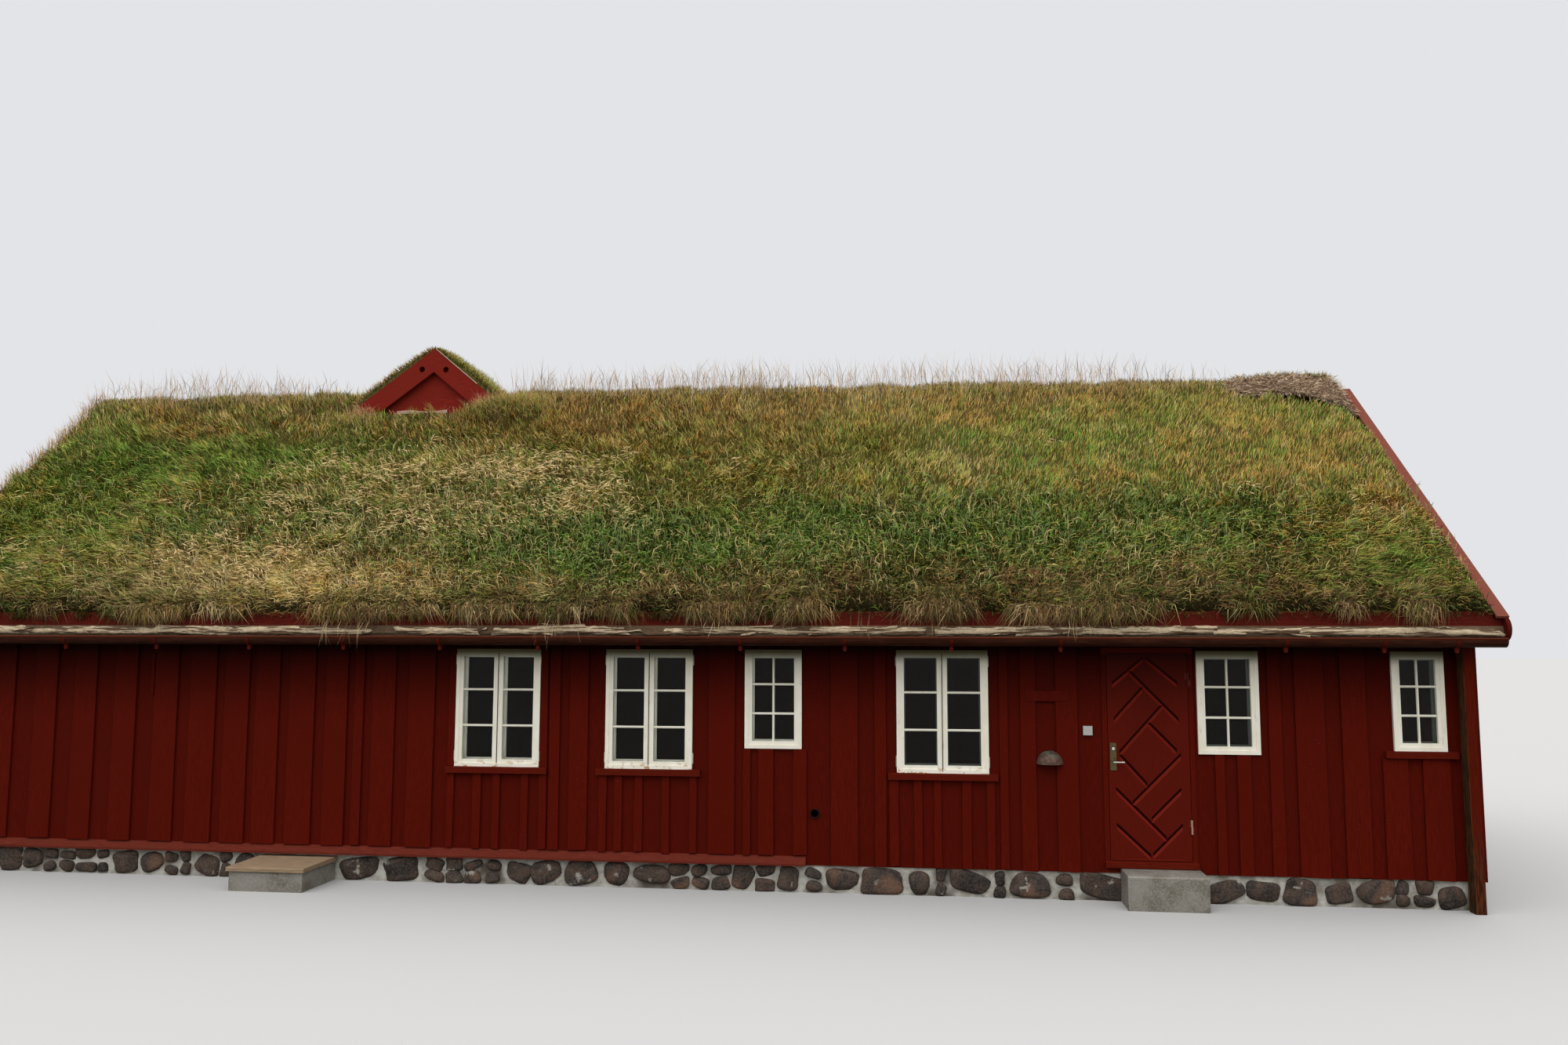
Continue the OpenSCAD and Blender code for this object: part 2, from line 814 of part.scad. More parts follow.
module frame_hinges() {
    color(steel) front_half() for (h = [hinge_low, hinge_high]) {
        hinge_bodies(leaf_foot_z + h, 1);
        translate([hinge_x, hinge_y, leaf_foot_z + h]) cylinder(r = pin_r, h = 2 * knuckle_len - pin_short);
    }
}

module leaf_hinges() {
    color(steel) front_half() for (h = [hinge_low, hinge_high]) {
        z = leaf_foot_z + h + knuckle_len + knuckle_gap;
        difference() {
            hinge_bodies(z, -1);
            translate([hinge_x, hinge_y, z - 1]) cylinder(r = pin_r + pin_clearance, h = knuckle_len + 2);
        }
    }
}

// One V-groove of the leaf, from its start, with both ends cut off upright
module leaf_groove(x, z, length, angle) {
    end_x = x + length * cos(angle);
    intersection() {
        translate([leaf_left + x, leaf_face, leaf_foot_z + z]) rotate([0, -angle, 0])
            run_x(-groove_w, length + groove_w)
                polygon([[-1, -groove_w / 2], [groove_depth, 0], [-1, groove_w / 2]]);
        block(
            leaf_left + min(x, end_x), leaf_left + max(x, end_x), leaf_face - 2, leaf_face + leaf_t,
            leaf_foot_z, leaf_head_z
        );
    }
}

module door_leaf() {
    line_z = leaf_foot_z + foot_line_up;
    color(red) front_half() difference() {
        block(leaf_left, leaf_right, leaf_face, leaf_face + leaf_t, leaf_foot_z, leaf_head_z);
        for (g = leaf_grooves) leaf_groove(g[0], g[1], g[2], g[3]);
        run_x(leaf_left + leaf_stile_w, leaf_right - leaf_stile_w) polygon([
            [leaf_face - 1, line_z - foot_line_w / 2], [leaf_face + foot_line_w / 2, line_z],
            [leaf_face - 1, line_z + foot_line_w / 2]
        ]);
        translate([spindle_x, leaf_face - 1, spindle_z]) rotate([-90, 0, 0])
            cylinder(r = spindle_r + spindle_clearance, h = leaf_t + 2);
    }
}

module lock_plate(y0) {
    foot = spindle_z - lock_plate_down;
    middle_x = spindle_x + lock_plate_shift;
    difference() {
        block(
            middle_x - lock_plate_w / 2, middle_x + lock_plate_w / 2, y0, y0 + lock_plate_t,
            foot, foot + lock_plate_h
        );
        translate([spindle_x, y0 - 1, spindle_z]) rotate([-90, 0, 0])
            cylinder(r = spindle_r + spindle_clearance, h = lock_plate_t + 2);
    }
}

module lock_plates() {
    color(brass) front_half() {
        lock_plate(leaf_face - lock_plate_t);
        translate([spindle_x, leaf_face - lock_plate_t - lock_knob_t, spindle_z + lock_above])
            rotate([-90, 0, 0])
                cylinder(r1 = lock_knob_r - lock_knob_round, r2 = lock_knob_r, h = lock_knob_t);
        lock_plate(leaf_face + leaf_t);
    }
}

module lever(y) {
    translate([spindle_x, y, spindle_z]) {
        rotate([0, 90, 0]) cylinder(d = lever_d, h = lever_len - lever_d / 2);
        translate([lever_len - lever_d / 2, 0, 0]) sphere(d = lever_d);
        sphere(d = lever_d);
    }
}

module lever_handles() {
    outer_y = leaf_face - lock_plate_t - lever_out;
    inner_y = leaf_face + leaf_t + lock_plate_t + lever_out;
    color(steel) front_half() {
        lever(outer_y);
        lever(inner_y);
        translate([spindle_x, outer_y, spindle_z]) rotate([-90, 0, 0])
            cylinder(r = spindle_r, h = inner_y - outer_y);
    }
}

// Roof frame
module ledgers() {
    top = tie_top_z - tie_d;
    color(timber) {
        front_half() block(-inner_len, inner_len, -inner_w, -inner_w + ledger_t, top - ledger_h, top);
        back_half() block(-inner_len, inner_len, -inner_w, -inner_w + ledger_t, top - ledger_h, top);
    }
}

module tie_beams() {
    color(timber) translate([0, ridge_y, 0]) for (i = [0:truss_count - 1]) {
        x = truss_first + i * truss_pitch;
        block(x - rafter_w / 2, x + rafter_w / 2, -inner_w, inner_w, tie_top_z - tie_d, tie_top_z);
    }
}

module rafter() {
    toe = inner_w - seat_cut / tan(roof_pitch);
    run_x(-rafter_w / 2, rafter_w / 2) polygon([
        [-inner_w, wall_top_z(inner_w)], [-inner_w, tie_top_z], [-toe, tie_top_z],
        [-ridge_gap, wall_top_z(ridge_gap) - rafter_d / cos(roof_pitch)], [-ridge_gap, wall_top_z(ridge_gap)]
    ]);
}

module rafters() {
    color(timber) for (i = [0:truss_count - 1]) translate([truss_first + i * truss_pitch, 0, 0]) {
        front_half() rafter();
        back_half() rafter();
    }
}

// Roof covering, one slope, drawn for the front half
module deck_slope() {
    run_x(-deck_half_len, deck_half_len) polygon([
        [-deck_reach, roof_z(deck_reach, -deck_t)], [-deck_reach, roof_z(deck_reach, 0)],
        [0, roof_z(0, 0)], [0, roof_z(0, -deck_t)]
    ]);
}

// Leans the small gable about the point of the ridge under its middle
module gablet_place() {
    translate([gablet_x, 0, ridge_z]) rotate([0, gablet_lean, 0]) translate([0, 0, -ridge_z]) children();
}

module gablet_shaft() {
    w = gablet_wall_half_w + seat_gap;
    gablet_place() block(-w, w, -gablet_wall_y, gablet_wall_y, deck_edge_z, gablet_peak_z);
}

module bark_slope() {
    top = deck_edge_z + bark_lip_up;
    foot = deck_edge_z - bark_lip_down;
    y0 = deck_reach + bark_lip_t;
    difference() {
        run_x(-deck_half_len, deck_half_len) polygon([
            [0, roof_z(0, 0)], [0, roof_z(0, bark_t)],
            [turf_board_t - deck_reach, roof_z(deck_reach - turf_board_t, bark_t)],
            [-deck_reach, turf_board_foot], [-deck_reach, top],
            [-y0 + bark_round, top], [-y0, top - 2 * bark_round],
            [-y0, foot + 2 * bark_round], [-y0 + bark_round, foot],
            [-deck_reach, foot], [-deck_reach, roof_z(deck_reach, 0)]
        ]);
        gablet_shaft();
    }
}

module gablet_room() {
    w = gablet_half_w + gablet_clear;
    d = gablet_half_d + gablet_clear;
    gablet_place() block(-w, w, -d, d, deck_edge_z, gablet_peak_z + turf_t);
}

// The turf thins towards the right verge, down to the edge of the verge cap
module turf_thinning() {
    edge_x = verge_face - cap_w;
    above = turf_t + turf_crown + cap_t;
    slope = deck_reach / cos(roof_pitch);
    translate([0, 0, ridge_z]) rotate([90 + roof_pitch, 0, 0]) translate([0, 0, -above])
        linear_extrude(slope + 3 * above) polygon([
            [edge_x - turf_thin_w, turf_t + turf_crown], [edge_x + cap_w, cap_n + cap_t / 2],
            [edge_x + cap_w, above], [edge_x - turf_thin_w, above]
        ]);
}

module turf_slope() {
    board_in = deck_reach - turf_board_t;
    cap_in = verge_face - cap_w;
    nose_y = deck_reach + turf_nose_out;
    shoulder_y = deck_reach - 4 * turf_nose_out;
    top_y = turf_crown_steps[len(turf_crown_steps) - 1][0] * turf_crown_w;
    difference() {
        union() {
            run_x(-cap_in, cap_in) polygon(concat(
                [[0, roof_z(0, bark_t)], [-board_in, roof_z(board_in, bark_t)], [-board_in, turf_board_top]],
                [for (p = turf_nose) [-nose_y - p[0], turf_board_top + p[1] * turf_nose_h]],
                [[-shoulder_y, roof_z(shoulder_y, turf_t * 0.95)]],
                [[-turf_belly_y, roof_z(turf_belly_y, turf_t + turf_belly)]],
                [for (p = turf_crown_steps) let (y = p[0] * turf_crown_w)
                    [-y, roof_z(y, turf_t + p[1] * turf_crown)]],
                [[0, roof_z(top_y, turf_t + turf_crown)]]
            ));
            run_x(-deck_half_len, deck_half_len) polygon([
                [-board_in, roof_z(board_in, bark_t)], [-board_in, roof_z(board_in, cap_n)],
                [0, roof_z(0, cap_n)], [0, roof_z(0, bark_t)]
            ]);
        }
        gablet_room();
        turf_thinning();
    }
}

// The board that holds the turf at the eaves is cut down where it passes under the verge caps
module turf_board() {
    cap_in = verge_face - cap_w;
    inner_y = deck_reach - turf_board_t;
    run_x(-cap_in, cap_in) polygon([
        [-deck_reach, turf_board_foot], [-inner_y, turf_board_foot],
        [-inner_y, turf_board_top], [-deck_reach, turf_board_top]
    ]);
    run_x(-deck_half_len, deck_half_len) polygon([
        [-deck_reach, turf_board_foot], [-inner_y, turf_board_foot],
        [-inner_y, roof_z(deck_reach, cap_n)], [-deck_reach, roof_z(deck_reach, cap_n)]
    ]);
}

module roof_deck_front() { color(timber) front_half() deck_slope(); }
module roof_deck_back() { color(timber) back_half() deck_slope(); }
module birch_bark_front() { color(bark_colour) front_half() bark_slope(); }
module birch_bark_back() { color(bark_colour) back_half() bark_slope(); }
module turf_front() { color(turf_colour) front_half() turf_slope(); }
module turf_back() { color(turf_colour) back_half() turf_slope(); }

module turf_boards() {
    color(red) {
        front_half() turf_board();
        back_half() turf_board();
    }
}

// A verge board with a round nose at the eaves, drawn from x = 0 outwards. It butts at the ridge
module barge_board() {
    nose_r = barge_w / 2;
    foot = -deck_t - barge_down;
    mid_y = deck_reach - nose_back;
    run_x(0, barge_t) intersection() {
        union() {
            polygon([
                [-mid_y, roof_z(mid_y, foot)], [-mid_y, roof_z(mid_y, cap_n)],
                [-ridge_gap, roof_z(ridge_gap, cap_n)], [-ridge_gap, roof_z(ridge_gap, foot)]
            ]);
            translate([-mid_y, roof_z(mid_y, foot + nose_r)]) circle(r = nose_r);
        }
        polygon([
            [-mid_y - barge_w, wall_foot], [-mid_y - barge_w, roof_z(mid_y + barge_w, cap_n)],
            [-ridge_gap, roof_z(ridge_gap, cap_n)], [-ridge_gap, wall_foot]
        ]);
    }
}

module verge_cap() {
    foot_y = deck_reach + cap_out;
    foot_z = roof_z(foot_y, cap_n) + seat_gap;
    run_x(barge_t - cap_w, barge_t) polygon([
        [-foot_y, foot_z], [-foot_y - cap_t * sin(roof_pitch), foot_z + cap_t * cos(roof_pitch)],
        [-ridge_gap, roof_z(ridge_gap, cap_n + cap_t)], [-ridge_gap, roof_z(ridge_gap, cap_n) + seat_gap]
    ]);
}

module at_both_verges() {
    translate([deck_half_len, 0, 0]) children();
    mirror([1, 0, 0]) translate([deck_half_len, 0, 0]) children();
}

module barge_boards() {
    color(red) at_both_verges() {
        front_half() barge_board();
        back_half() barge_board();
    }
}

module verge_caps() {
    color(light_red) at_both_verges() {
        front_half() verge_cap();
        back_half() verge_cap();
    }
}

// Gutters
module gutter_outline(r) {
    translate([-gutter_y, gutter_rim_z - gutter_lip]) {
        intersection() {
            circle(r = r);
            translate([-r, -r]) square([2 * r, r]);
        }
        translate([-r, 0]) square([2 * r, gutter_lip]);
    }
}

module gutter() {
    end = deck_half_len - gutter_end;
    inner_r = gutter_r - gutter_t;
    difference() {
        run_x(-end, end) gutter_outline(gutter_r);
        run_x(-end + gutter_t, end - gutter_t) gutter_outline(gutter_r - gutter_t);
        block(
            -end + gutter_t, end - gutter_t, -gutter_y - inner_r, -gutter_y + inner_r,
            gutter_rim_z - gutter_t, gutter_rim_z + 1
        );
    }
    translate([-end, -gutter_y - gutter_r + gutter_t / 2, gutter_rim_z]) rotate([0, 90, 0])
        cylinder(r = bead_r, h = 2 * end);
}

module gutter_front() { color(deep_red) front_half() gutter(); }
module gutter_back() { color(deep_red) back_half() gutter(); }

module gutter_hook() {
    r = gutter_r;
    arm_y = deck_reach - hook_arm;
    run_x(-hook_w / 2, hook_w / 2) {
        difference() {
            gutter_outline(r + hook_t);
            gutter_outline(r);
            translate([-gutter_y - 2 * r, gutter_rim_z - gutter_lip]) square([2 * r, 2 * gutter_lip]);
        }
        polygon([
            [-gutter_y + r, gutter_rim_z - gutter_lip], [-gutter_y + r + hook_t, gutter_rim_z - gutter_lip],
            [-gutter_y + r + hook_t, roof_z(deck_reach, -deck_t - hook_t)],
            [-deck_reach, roof_z(deck_reach, -deck_t - hook_t)],
            [-arm_y, roof_z(arm_y, -deck_t - hook_t)], [-arm_y, roof_z(arm_y, -deck_t)],
            [-deck_reach, roof_z(deck_reach, -deck_t)], [-gutter_y + r, roof_z(deck_reach, -deck_t)]
        ]);
    }
    foot = gutter_rim_z - gutter_lip - r - hook_t;
    translate([0, -gutter_y - hook_knob_l / 2, foot - knob_down + hook_w / 2]) {
        rotate([-90, 0, 0]) cylinder(d = hook_w, h = hook_knob_l);
        block(-hook_w / 2, hook_w / 2, 0, hook_knob_l, 0, knob_down - hook_w / 2 + hook_t / 2);
    }
}

// Hooks at even steps, with none between the two given places, then the two at the right end
module hook_row(gap_from, gap_to) {
    for (i = [hook_first:hook_last]) {
        x = hook_x + i * hook_pitch;
        if (x < gap_from || x > gap_to)
            translate([x, 0, 0]) gutter_hook();
    }
    for (x = [hook_late_x, hook_end_x])
        translate([x, 0, 0]) gutter_hook();
}

module gutter_hooks() {
    color(red) {
        front_half() hook_row(leaf_left, leaf_right);
        back_half() hook_row(0, 0);
    }
}

// The small gable on the ridge
// The space under the main roof's surface at the height n above its boards
module under_roof(n) {
    reach = gablet_half_d * 2;
    run_x(gablet_x - 2 * gablet_half_w, gablet_x + 2 * gablet_half_w) translate([0, seat_gap]) polygon([
        [-reach, wall_foot], [-reach, roof_z(reach, n)], [0, roof_z(0, n)], [reach, roof_z(reach, n)],
        [reach, wall_foot]
    ]);
}

module gablet_outline(half, n) {
    foot = roof_z(gablet_half_d, 0) - gablet_foot_down;
    polygon([
        [-half, foot], [-half, gablet_z(half, n)], [0, gablet_z(0, n)],
        [half, gablet_z(half, n)], [half, foot]
    ]);
}

module gablet_walls() {
    deck_under = -gablet_upstand - gablet_deck_t;
    w = gablet_wall_half_w;
    t = gablet_wall_t;
    color(red) translate([0, ridge_y, 0]) difference() {
        gablet_place() run_y(-gablet_wall_y, gablet_wall_y) gablet_outline(w, deck_under);
        gablet_place() run_y(-gablet_wall_y + t, gablet_wall_y - t) gablet_outline(w - t, deck_under - t);
        under_roof(0);
    }
}

module gablet_deck() {
    top = -gablet_upstand;
    under = top - gablet_deck_t;
    w = gablet_half_w;
    d = gablet_half_d - gablet_barge_t;
    color(timber) translate([0, ridge_y, 0]) difference() {
        gablet_place() run_y(-d, d) polygon([
            [-w, gablet_z(w, under)], [-w, gablet_z(w, top)], [0, gablet_z(0, top)], [w, gablet_z(w, top)],
            [w, gablet_z(w, under)], [0, gablet_z(0, under)]
        ]);
        under_roof(bark_t);
    }
}

module gablet_barge_pair() {
    w = gablet_half_w;
    n = -gablet_barge_w;
    hole_z = gablet_z(gablet_hole_x, n / 2);
    difference() {
        run_y(-gablet_half_d, -gablet_half_d + gablet_barge_t) polygon([
            [-w, gablet_z(w, n)], [-w, gablet_z(w, 0)], [0, gablet_z(0, 0)], [w, gablet_z(w, 0)],
            [w, gablet_z(w, n)], [0, gablet_z(0, n)]
        ]);
        for (side = [-1, 1])
            translate([side * gablet_hole_x, -gablet_half_d - 1, hole_z])
                rotate([-90, 0, 0]) cylinder(r = gablet_hole_r, h = gablet_barge_t + 2);
    }
}

module gablet_barge_boards() {
    color(red) translate([0, ridge_y, 0]) gablet_place() {
        gablet_barge_pair();
        mirror([0, 1, 0]) gablet_barge_pair();
    }
}

module gablet_turf() {
    w = gablet_half_w;
    low = -gablet_upstand;
    high = low + gablet_turf_t;
    r = gablet_turf_round;
    side = w + gablet_turf_bulge;
    d = gablet_half_d - gablet_barge_t;
    color(turf_colour) translate([0, ridge_y, 0]) gablet_place() run_y(-d, d) polygon([
        [-w, gablet_z(w, low)], [-side, gablet_z(w, high - r / 2)], [-w + r, gablet_z(w - r, high)],
        [-2 * r, gablet_z(2 * r, high)], [0, gablet_z(r, high)], [2 * r, gablet_z(2 * r, high)],
        [w - r, gablet_z(w - r, high)], [side, gablet_z(w, high - r / 2)], [w, gablet_z(w, low)],
        [0, gablet_z(0, low)]
    ]);
}

// Fittings
module wall_lamp() {
    color(lamp_colour) on_front_wall() translate([lamp_x, 0, lamp_z]) difference() {
        intersection() {
            sphere(r = lamp_r);
            block(-lamp_r, lamp_r, -lamp_r, 0, 0, lamp_r);
        }
        intersection() {
            sphere(r = lamp_r - lamp_t);
            block(-lamp_r, lamp_r, -lamp_r, -lamp_t, -1, lamp_r);
        }
    }
}

module bell_box() {
    color(plastic) on_front_wall()
        translate([bell_x, 0, bell_z])
            block(-bell_s / 2, bell_s / 2, -bell_d, 0, -bell_s / 2, bell_s / 2);
}

module name_board() {
    color(deep_red) on_front_wall() translate([board_x, 0, board_z])
        block(-board_w / 2, board_w / 2, -board_t, 0, -board_h / 2, board_h / 2);
}

// A short tube through the wall, shut at the back by its damper
module vent_sleeve() {
    color(vent_colour) on_front_wall() translate([vent_x, -vent_proud, vent_z]) rotate([-90, 0, 0])
        difference() {
            cylinder(r = vent_r, h = wall_t + vent_proud);
            translate([0, 0, -1]) cylinder(r = vent_r - vent_t, h = wall_t + vent_proud - vent_t + 1);
        }
}

plinth_long_walls();
plinth_gable_walls();
floor_boards();  // floor
door_step();
hatch_curb();
hatch_lid();
front_wall_left();
front_wall_over_door();
front_wall_right();
back_wall();
left_gable_wall();
right_gable_wall();
corner_boards();
corner_posts();
base_boards();
front_windows();
back_windows();
gable_windows();
window_glass();
window_sills();
door_jambs();
door_head();
threshold();
frame_hinges();
door_leaf();
leaf_hinges();
lock_plates();
lever_handles();
ledgers();
tie_beams();
rafters();
roof_deck_front();
roof_deck_back();
birch_bark_front();
birch_bark_back();
turf_front();
turf_back();
turf_boards();
gutter_front();
gutter_back();
gutter_hooks();
barge_boards();
verge_caps();
gablet_walls();
gablet_deck();
gablet_barge_boards();
gablet_turf();
wall_lamp();
bell_box();
name_board();
vent_sleeve();
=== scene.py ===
"""Dresses the turf house: outer boards, plinth stones, glazing bars, birch bark, grass and finishes."""
import math
from functools import reduce

import bmesh
import bpy
import numpy as np
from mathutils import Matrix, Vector


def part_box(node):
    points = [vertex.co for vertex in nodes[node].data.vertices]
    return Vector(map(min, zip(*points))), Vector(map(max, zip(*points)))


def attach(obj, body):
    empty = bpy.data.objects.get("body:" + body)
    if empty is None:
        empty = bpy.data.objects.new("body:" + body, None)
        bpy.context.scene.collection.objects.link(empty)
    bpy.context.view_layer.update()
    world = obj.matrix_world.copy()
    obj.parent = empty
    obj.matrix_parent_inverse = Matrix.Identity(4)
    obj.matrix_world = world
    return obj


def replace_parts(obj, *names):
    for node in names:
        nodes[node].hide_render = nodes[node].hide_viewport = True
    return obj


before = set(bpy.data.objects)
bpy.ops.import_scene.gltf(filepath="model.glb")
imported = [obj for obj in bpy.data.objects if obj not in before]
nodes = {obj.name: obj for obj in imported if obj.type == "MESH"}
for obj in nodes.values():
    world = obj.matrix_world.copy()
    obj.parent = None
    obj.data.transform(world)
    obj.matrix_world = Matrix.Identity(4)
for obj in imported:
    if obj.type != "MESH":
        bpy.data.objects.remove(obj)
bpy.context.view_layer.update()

# Places taken from the frame, in metres
WALL_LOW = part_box("front_wall_left")[0]
FRONT_Y = WALL_LOW.y
LEFT_X = WALL_LOW.x
FOOT_Z = WALL_LOW.z
BACK_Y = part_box("back_wall")[1].y
RIGHT_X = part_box("front_wall_right")[1].x
FRAME_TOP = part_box("front_windows")[1].z
DECK_LOW, DECK_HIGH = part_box("roof_deck_front")
RIDGE_Y = DECK_HIGH.y
RIDGE_Z = DECK_HIGH.z
REACH = RIDGE_Y - DECK_LOW.y
HALF_W = RIDGE_Y - FRONT_Y
BASE_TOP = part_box("base_boards")[1].z
TURF_BOARD_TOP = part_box("turf_boards")[1].z
PIN_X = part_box("door_leaf")[1].x + 0.0025
PITCH = math.radians(38)
DECK_T = 0.045


def roof_z(reach, n):
    """Height of the roof at a distance from the ridge, n above the roof boards' top."""
    return RIDGE_Z - abs(reach) * math.tan(PITCH) + n / math.cos(PITCH)


EAVES_Z = roof_z(REACH, 0)


def islands(name):
    """The boxes of a node's separate solids, as (low, high) corners, from left to right."""
    mesh = nodes[name].data
    keys = [tuple(round(c, 4) for c in v.co) for v in mesh.vertices]
    parent = {k: k for k in keys}

    def root(k):
        while parent[k] != k:
            parent[k] = parent[parent[k]]
            k = parent[k]
        return k

    for polygon in mesh.polygons:
        first = root(keys[polygon.vertices[0]])
        for i in polygon.vertices[1:]:
            parent[root(keys[i])] = first
    groups = {}
    for k in parent:
        groups.setdefault(root(k), []).append(k)
    boxes = [(Vector(map(min, zip(*g))), Vector(map(max, zip(*g)))) for g in groups.values()]
    return sorted(boxes, key=lambda box: box[0].x)


# Finishes
class Nodes:
    """Builds a node tree from a few calls."""

    def __init__(self, tree):
        self.tree = tree

    def node(self, kind, inputs, outlet, **settings):
        """Adds a node and gives back one of its outlets."""
        made = self.tree.nodes.new("ShaderNode" + kind)
        for key, value in settings.items():
            setattr(made, key, value)
        for key, value in inputs.items():
            socket = next(s for s in made.inputs if s.identifier == key)
            if isinstance(value, bpy.types.NodeSocket):
                self.tree.links.new(value, socket)
            else:
                socket.default_value = (*value, 1.0) if socket.type == "RGBA" else value
        return next(s for s in made.outputs if s.identifier == outlet)

    def math(self, operation, a, b=0.0):
        return self.node("Math", {"Value": a, "Value_001": b}, "Value", operation=operation)

    def mix(self, factor, a, b, how="MIX"):
        inputs = {"Factor_Float": factor, "A_Color": a, "B_Color": b}
        return self.node("Mix", inputs, "Result_Color", data_type="RGBA", blend_type=how)

    def over(self, under, colour, *factors):
        """Lays a colour over another, by all the factors multiplied."""
        return self.mix(reduce(lambda a, b: self.math("MULTIPLY", a, b), factors), under, colour)

    def step(self, value, low, high):
        inputs = {"Value": value, "From Min": low, "From Max": high}
        return self.node("MapRange", inputs, "Result", interpolation_type="SMOOTHSTEP")

    def between(self, value, low, high, a, b):
        """One colour where the value is low, blending into another where it is high."""
        return self.mix(self.step(value, low, high), a, b)


class Finish(Nodes):
    """A procedural material."""

    def __init__(self, name, roughness=0.7, metallic=0.0, sheen=0.12):
        self.material = bpy.data.materials.new(name)
        self.material.use_nodes = True
        super().__init__(self.material.node_tree)
        self.shader = self.tree.nodes["Principled BSDF"].inputs
        self.shader["Roughness"].default_value = roughness
        self.shader["Metallic"].default_value = metallic
        self.shader["Specular IOR Level"].default_value = sheen
        self.place = self.node("TexCoord", {}, "Object")

    def axis(self, letter):
        return self.node("SeparateXYZ", {"Vector": self.place}, letter)

    def stretched(self, stretch):
        return self.node("Mapping", {"Vector": self.place, "Scale": stretch}, "Vector")

    def noise(self, scale, stretch=(1, 1, 1), detail=4.0, rough=0.55):
        inputs = {"Vector": self.stretched(stretch), "Scale": scale, "Detail": detail, "Roughness": rough}
        return self.node("TexNoise", inputs, "Fac")

    def ramp(self, value, *stops):
        colour = self.node("ValToRGB", {"Fac": value}, "Color")
        ramp = colour.node.color_ramp
        while len(ramp.elements) < len(stops):
            ramp.elements.new(0.5)
        for element, (position, tone) in zip(ramp.elements, stops):
            element.position = position
            element.color = (*tone, 1.0) if hasattr(tone, "__len__") else (tone, tone, tone, 1.0)
        return colour

    def paint(self, colour, height, depth, strength, roughness=None):
        self.tree.links.new(colour, self.shader["Base Color"])
        if roughness is not None:
            self.tree.links.new(roughness, self.shader["Roughness"])
        bump = self.node("Bump", {"Height": height, "Distance": depth, "Strength": strength}, "Normal")
        self.tree.links.new(bump, self.shader["Normal"])
        return self.material


GRAIN_UP = (14, 14, 1)
GRAIN_ALONG = (1, 14, 14)
GRAIN_ACROSS = (14, 1, 14)
SOD_FIBRES = (26, (1, 0.5, 0.5), 8, 0.75)
# The painted shade on the long walls, under the eaves and the gutter: height where it starts, where it is full, its
# share and how dark
EAVES_SHADES = ((FOOT_Z + 1.40, FOOT_Z + 2.22, 0.70, 0.36), (FRAME_TOP - 0.12, FRAME_TOP + 0.04, 0.72, 0.04))


def dimmed(colour, share):
    return [c * share for c in colour]


def red_wood(name, light, dark, chips, grain=GRAIN_UP, gloss=0.5, sheen=0.02, painted_groove_light=False):
    """Old red oil paint on boards: streaks with the grain, faded patches and small pale chips, with painted shade under
    the eaves on the long walls and, where asked, painted light and shade on groove flanks.
    """
    f = Finish(name, gloss, sheen=sheen)
    streaks = f.noise(9, grain, 5)
    clouds = f.noise(1.6, (1, 1, 0.6), 3)
    colour = f.between(streaks, 0.3, 0.7, dark, light)
    colour = f.between(clouds, 0.35, 0.75, colour, dimmed(light, 0.8))
    cells = f.node("TexVoronoi", {"Vector": f.stretched((1, 1, 0.7)), "Scale": 34}, "Distance")
    colour = f.over(colour, (0.26, 0.13, 0.09), f.step(cells, 0.09, 0.04), f.step(f.noise(3), 0.5, 0.62), chips)
    # Painted shade under the eaves and the gutter, on the long walls only
    if grain == GRAIN_UP:
        long_walls = f.step(f.math("ABSOLUTE", f.axis("X")), RIGHT_X + 0.01, RIGHT_X - 0.02)
        for low, high, share, tone in EAVES_SHADES:
            colour = f.over(colour, dimmed(dark, tone), f.step(f.axis("Z"), low, high), long_walls, share)
    if painted_groove_light:
        # Painted highlight on the groove flanks that face up, painted shade on those that face down
        lean = f.node("SeparateXYZ", {"Vector": f.node("NewGeometry", {}, "Normal")}, "Z")
        colour = f.between(lean, 0.25, 0.5, colour, dimmed(light, 1.9))
        colour = f.between(lean, -0.15, -0.4, colour, dimmed(dark, 0.20))
    height = f.math("ADD", streaks, f.math("MULTIPLY", f.noise(60, grain, 2), 0.35))
    return f.paint(colour, height, 0.0022, 0.55, f.ramp(f.noise(4), (0.3, gloss - 0.1), (0.7, gloss + 0.14)))


def raw_wood(name, light, dark, grain):
    f = Finish(name, 0.8)
    streaks = f.noise(8, grain, 6)
    colour = f.between(streaks, 0.25, 0.75, dark, light)
    return f.paint(f.between(f.noise(1.2), 0.4, 0.8, colour, dimmed(light, 0.7)), streaks, 0.003, 0.6)


